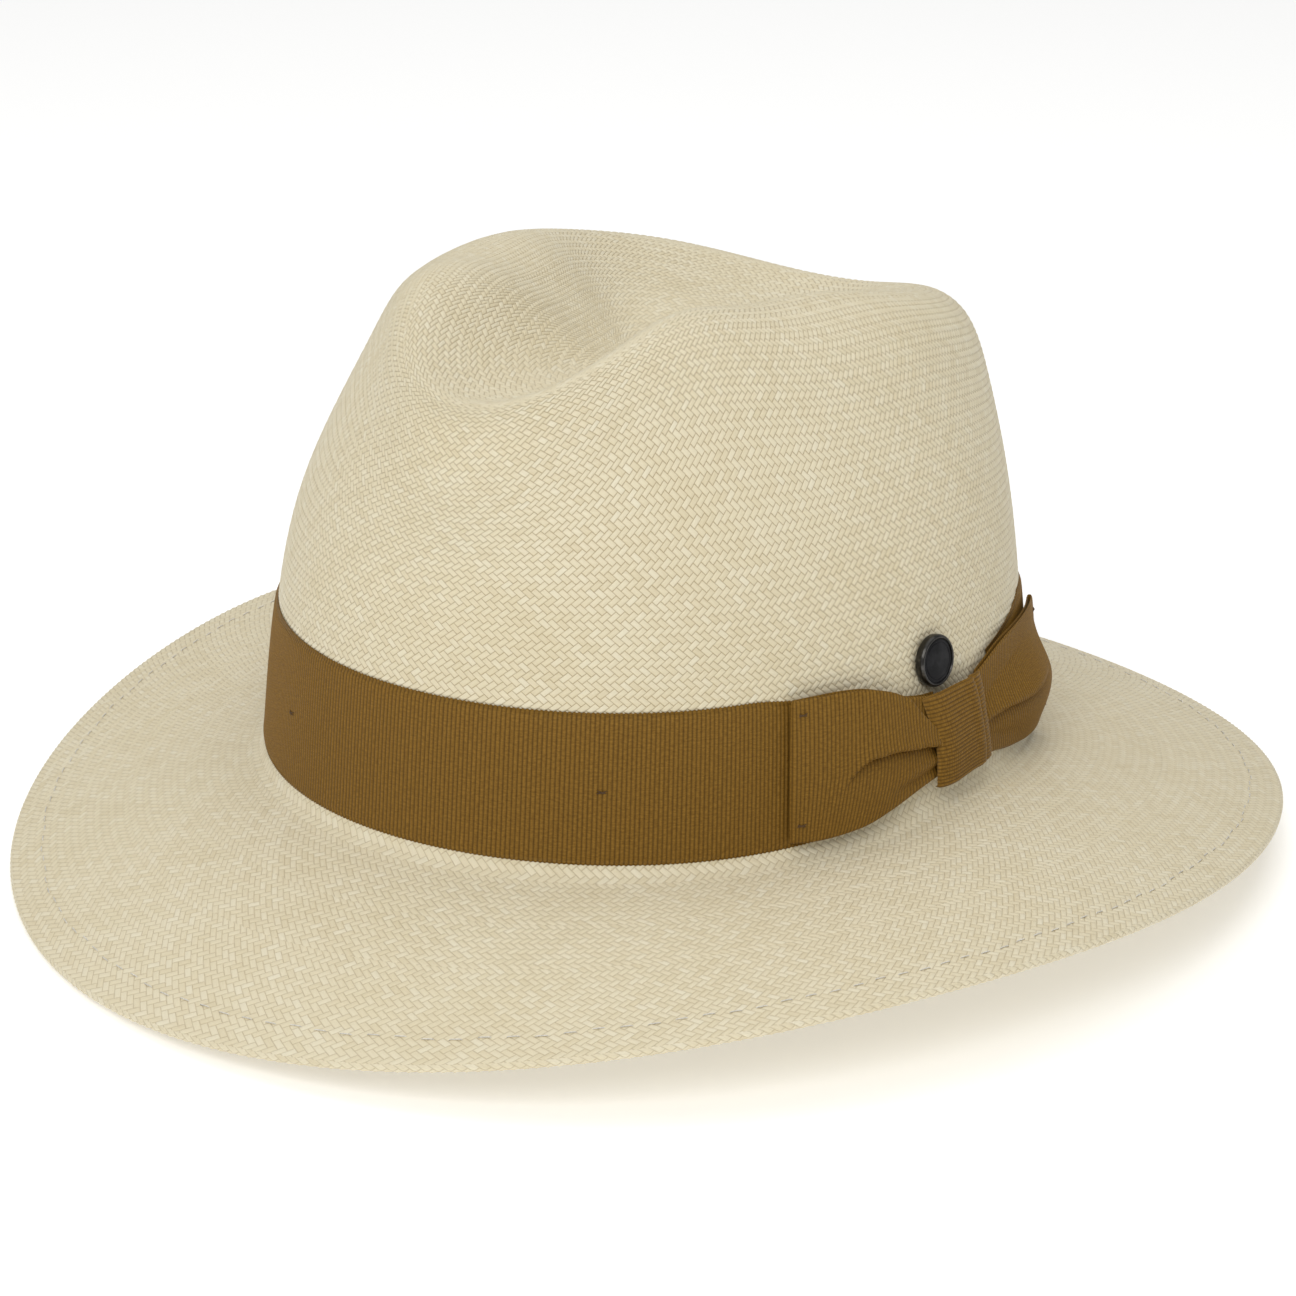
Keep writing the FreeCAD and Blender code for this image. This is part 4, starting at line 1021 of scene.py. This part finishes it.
def build_inside(cloth, piping, tape, label, thread):
    inside_piece("sweatband_cloth", 0.0, 360.0, SWEATBAND_BOTTOM, SWEATBAND_HEIGHT, SWEATBAND_GAP,
                 SWEATBAND - 0.1, (540, 26), cloth, "sweatband", 0.05)
    on_band = SWEATBAND_GAP + SWEATBAND + GAP
    for name, node, angle, width, up, height, grid, material, slot, wavy in (
        ("sweatband_tape_cloth", "sweatband_seam_tape", 180.0, TAPE_WIDTH, 0.5,
         SWEATBAND_HEIGHT - 1.0, (24, 40), tape, "seam_tape", 0.0),
        ("size_label_cloth", "size_label", 204.0, 16.0, 10.0, 12.0,
         (40, 34), label, "label_cloth", 0.03),
        ("care_label_cloth", "care_label", 156.0, 22.0, 4.0, 22.0,
         (40, 34), label, "label_cloth", 0.03),
    ):
        half = math.degrees(width / HALF_LENGTH) / 2
        inside_piece(name, angle - half, angle + half, SWEATBAND_BOTTOM + up, height, on_band, LABEL,
                     grid, material, node, wavy)
    build_reed(piping)
    count = int(math.pi * (HALF_LENGTH + HALF_BREADTH) / SWEATBAND_STITCH_PITCH)
    turn = 360.0 / count
    under_tape = math.degrees(TAPE_WIDTH / HALF_LENGTH) / 2 + turn
    steps = np.linspace(0.0, 1.0, 9)
    sink = 0.25 * np.abs(2 * steps - 1) ** 4
    runs = []
    for i in range(count):
        if abs(i * turn - 180.0) > under_tape:
            at = (i + STITCH_SHARE * steps) * turn
            z = break_height(np.radians(at)) + SWEATBAND_BOTTOM + SWEATBAND_STITCH_HEIGHT
            runs.append(wall_point(at, z, sink - 0.16 - STRAW - SWEATBAND_GAP - SWEATBAND))
    thread_piece("sweatband_stitches", runs, 0.15, 6, thread,
                 "sweatband_stitching")


# ---- pin badge

SHARP = math.radians(50)


def badge_axes():
    """The badge's seat on the wall in mm, then the ways out, up the wall and to the right."""
    seat = wall_point(BADGE_ANGLE, BADGE_HEIGHT, 0.0)
    out = unit(wall_point(BADGE_ANGLE, BADGE_HEIGHT, 1.0) - seat)
    above, below = (wall_point(BADGE_ANGLE, BADGE_HEIGHT + dz, 0.0) for dz in (1.0, -1.0))
    right = unit(np.cross(unit(above - below), out))
    return seat, out, np.cross(out, right), right


def lathe(name, profile, zero, sides, body, material, node):
    """A turned piece from (radius, height above zero) points in mm about the badge's axis."""
    seat, out, up, right = badge_axes()
    a = (np.arange(sides) * 2 * np.pi / sides)[:, None]
    radius, height = (np.array(column)[:, None, None] for column in zip(*profile))
    points = seat + radius * (np.cos(a) * right + np.sin(a) * up) + (height + zero) * out
    index = np.arange(len(profile) * sides).reshape(len(profile), sides)
    side = np.roll(index, -1, axis=1)
    faces = [np.stack([index[:-1], side[:-1], side[1:], index[1:]], axis=-1).reshape(-1, 4)]
    if profile[0] != profile[-1]:
        faces.append(np.array([index[0][::-1], index[-1]]))
    obj = make_mesh(name, standing(points.reshape(-1, 3)), faces)
    obj.data.set_sharp_from_angle(angle=SHARP)
    finish_piece(obj, body, material, node)


def build_badge(metal, enamel, steel, brass):
    """The rim and the enamel outside the straw, and the pin, cup and wings of the clutch inside."""
    gap = 0.3
    r, d = BADGE_RADIUS, BADGE_DEPTH
    inner, floor = r - BADGE_RIM, d - 1.0
    rim = [(0.02, 0.0), (r - 1.2, 0.0), (r - 0.5, 0.08), (r - 0.14, 0.35), (r, 0.8), (r, d - 0.62),
           (r - 0.08, d - 0.42), (r - 0.22, d - 0.3), (r - 0.30, d - 0.12), (r - 0.42, d - 0.02),
           (r - 0.60, d), (inner + 0.14, d - 0.02), (inner + 0.03, d - 0.10), (inner, d - 0.22),
           (inner, floor), (0.02, floor)]
    lathe("badge_rim_metal", rim, gap, 128, "badge", metal, "badge_bezel")
    ring = inner - 0.02
    face = [(0.02, floor), (ring, floor), (ring, d - 0.34), (ring - 0.10, d - 0.30),
            (ring - 0.75, d - 0.27), (ring - 0.80, d - 0.36), (ring - 0.92, d - 0.38),
            (ring - 1.04, d - 0.36), (ring - 1.09, d - 0.26), (3.2, d - 0.20), (2.2, d - 0.16),
            (1.2, d - 0.13), (0.4, d - 0.12), (0.02, d - 0.12)]
    lathe("badge_enamel", face, gap, 128, "badge", enamel, "badge_face")
    pin = [(0.01, 0.0), (0.55, 0.0), (0.55, -3.0), (0.50, -3.15), (0.50, -3.6), (0.55, -3.75),
           (0.55, -7.3), (0.42, -7.9), (0.22, -8.7), (0.06, -8.98), (0.01, -9.0)]
    lathe("badge_pin", pin, gap, 40, "badge", steel, "badge_post")
    base = -STRAW - gap
    cup = [(0.62, 0.0), (4.7, 0.0), (4.92, -0.1), (5.0, -0.32), (5.0, -0.7), (4.86, -0.95),
           (4.86, -1.2), (5.0, -1.45), (5.0, -3.3), (4.93, -3.52), (4.75, -3.6), (4.58, -3.52),
           (4.5, -3.3), (4.5, -0.62), (0.62, -0.6), (0.62, 0.0)]
    lathe("clutch_cup", cup, base, 96, "clutch", brass, "clutch_cap")
    build_wings(base - 3.6, brass)


def build_wings(height, brass):
    """Two spring wings bent from one strip."""
    seat, out, up, right = badge_axes()
    length, breadth, thick = 13.0, 2.2, 0.5
    x = np.linspace(-0.5 * length, 0.5 * length, 61)[:, None]
    away = np.abs(x)
    tips = np.sqrt(np.clip(1.0 - (np.maximum(away - 5.6, 0.0) / 0.92) ** 2, 0.04, 1.0))
    y = 0.5 * breadth * (1.0 - 0.35 * falloff(away, 2.0, 6.5)) * tips * np.linspace(-1.0, 1.0, 9)
    bend = 0.5 * (0.28 * falloff(away, 2.0, 4.5) - 0.12 * falloff(away, 5.0, 6.5))
    strip = seat + x[..., None] * right + y[..., None] * up
    top, low = (strip + (height - drop - bend)[..., None] * out for drop in (0.06, thick - 0.04))
    cloth = np.stack([np.broadcast_to(x, y.shape), y], axis=-1)
    obj = layered("clutch_wing_pair", top, low, cloth)
    obj.data.set_sharp_from_angle(angle=SHARP)
    finish_piece(obj, "clutch", brass, "clutch_wings")


# ---- stage, lights and camera

FLOOR_HALF, FLOOR_Z, FLOOR_GLOW = 40.0, -0.0004, 0.32
WORLD_LIGHT, LIT_POINT = 0.40, (0.0, 0.0, 0.06)
CAMERA_AZIMUTH, CAMERA_ELEVATION, CAMERA_ROLL = 32.0, 19.2544, 1.6441
CAMERA_DISTANCE, CAMERA_TARGET = 1100.0, (-0.605, -0.378, 20.679)
SENSOR, LENS = 36.0, 124.15944444


def build_stage():
    mesh = bpy.data.meshes.new("floor")
    corners = [(x * FLOOR_HALF, y * FLOOR_HALF, 0) for x, y in ((-1, -1), (1, -1), (1, 1), (-1, 1))]
    mesh.from_pydata(corners, [], [(0, 1, 2, 3)])
    floor = bpy.data.objects.new("floor", mesh)
    bpy.context.scene.collection.objects.link(floor)
    floor.location.z = FLOOR_Z
    floor.data.materials.append(Shader("pale_floor").done(
        (0.93, 0.93, 0.92), 0.8, Specular_IOR_Level=0.2, Emission_Color=(1.0, 1.0, 1.0),
        Emission_Strength=FLOOR_GLOW))


def area_light(name, location, size, power, colour=(1.0, 1.0, 1.0)):
    data = bpy.data.lights.new(name, "AREA")
    data.shape = "RECTANGLE"
    data.size, data.size_y = size
    data.energy = power
    data.color = colour
    light = bpy.data.objects.new(name, data)
    light.location = location
    light.rotation_mode = "QUATERNION"
    light.rotation_quaternion = (Vector(LIT_POINT) - Vector(location)).to_track_quat("-Z", "Y")
    bpy.context.scene.collection.objects.link(light)


def build_light():
    world = bpy.data.worlds.new("studio")
    world.use_nodes = True
    background = world.node_tree.nodes["Background"]
    background.inputs[0].default_value = (1.0, 1.0, 1.0, 1.0)
    background.inputs[1].default_value = WORLD_LIGHT
    bpy.context.scene.world = world
    area_light("key", (0.55, -1.15, 1.15), (0.8, 0.8), 10.5, (1.0, 0.99, 0.975))
    area_light("fill", (-1.3, -0.8, 0.7), (1.2, 1.0), 2.4)
    area_light("top", (0.0, 0.25, 1.5), (1.3, 1.3), 7.4)
    bpy.context.scene.view_settings.view_transform = "Standard"


def build_camera():
    """The camera is set about the hat's own frame, then stood up with it."""
    a, e, roll = (math.radians(x) for x in (CAMERA_AZIMUTH, CAMERA_ELEVATION, CAMERA_ROLL))
    back = np.array([math.sin(a) * math.cos(e), -math.cos(a) * math.cos(e), math.sin(e)])
    level = np.array([math.cos(a), math.sin(a), 0.0])
    right = math.cos(roll) * level + math.sin(roll) * np.cross(back, level)
    place = np.array(CAMERA_TARGET) + back * CAMERA_DISTANCE
    eye, behind, beside = standing(np.array([place, place + back, place + right]))
    z_axis, x_axis = unit(behind - eye), unit(beside - eye)
    columns = np.stack([x_axis, np.cross(z_axis, x_axis), z_axis, eye], axis=1)
    data = bpy.data.cameras.new("camera")
    data.sensor_width = SENSOR
    data.lens = LENS
    data.clip_start, data.clip_end = 0.05, 30.0
    camera = bpy.data.objects.new("camera", data)
    camera.matrix_world = Matrix([*columns.tolist(), (0.0, 0.0, 0.0, 1.0)])
    bpy.context.scene.collection.objects.link(camera)
    bpy.context.scene.camera = camera


# ---- the hat

build_camera()
build_stage()
build_light()
build_straw(straw_material())
grosgrain = grosgrain_material("brown_grosgrain", (0.268, 0.142, 0.021), (0.176, 0.087, 0.010))
build_band(grosgrain)
tack_spots = build_front_loop(grosgrain) + build_rear_loop(grosgrain)
build_knot(grosgrain)
brown_thread = thread_material("brown_thread", (0.10, 0.050, 0.014), 0.35)
build_hem_stitches(thread_material("clear_thread", (0.84, 0.81, 0.74), 0.55, clear=0.2))
for piece, bars, replaced in (("ribbon_tack_thread", band_tack_runs(), "ribbon_tacks"),
                              ("bow_tack_thread", loop_tack_runs(tack_spots), "bow_tacks")):
    thread_piece(piece, bars, 0.35 * TACK_THREAD, 7, brown_thread, replaced)
build_inside(
    cloth_material("ecru_twill", (0.62, 0.55, 0.41), (0.54, 0.47, 0.34)),
    cloth_material("reed_cloth", (0.58, 0.50, 0.36), (0.50, 0.42, 0.29), pitch=0.45),
    cloth_material("cotton_tape", (0.56, 0.48, 0.35), (0.50, 0.43, 0.30), pitch=0.8, slant=0.0),
    cloth_material("white_satin", (0.84, 0.83, 0.80), (0.78, 0.77, 0.74), pitch=0.35, rough=0.5),
    thread_material("ecru_thread", (0.60, 0.52, 0.38), 0.35),
)
build_badge(
    metal_material("gunmetal", (0.048, 0.046, 0.043), 0.28, (0.20, 0.19, 0.18)),
    enamel_material(),
    metal_material("pin_steel", (0.62, 0.61, 0.60), 0.25, (0.45, 0.44, 0.42)),
    metal_material("stamped_brass", (0.75, 0.56, 0.24), 0.30, (0.50, 0.36, 0.14)),
)
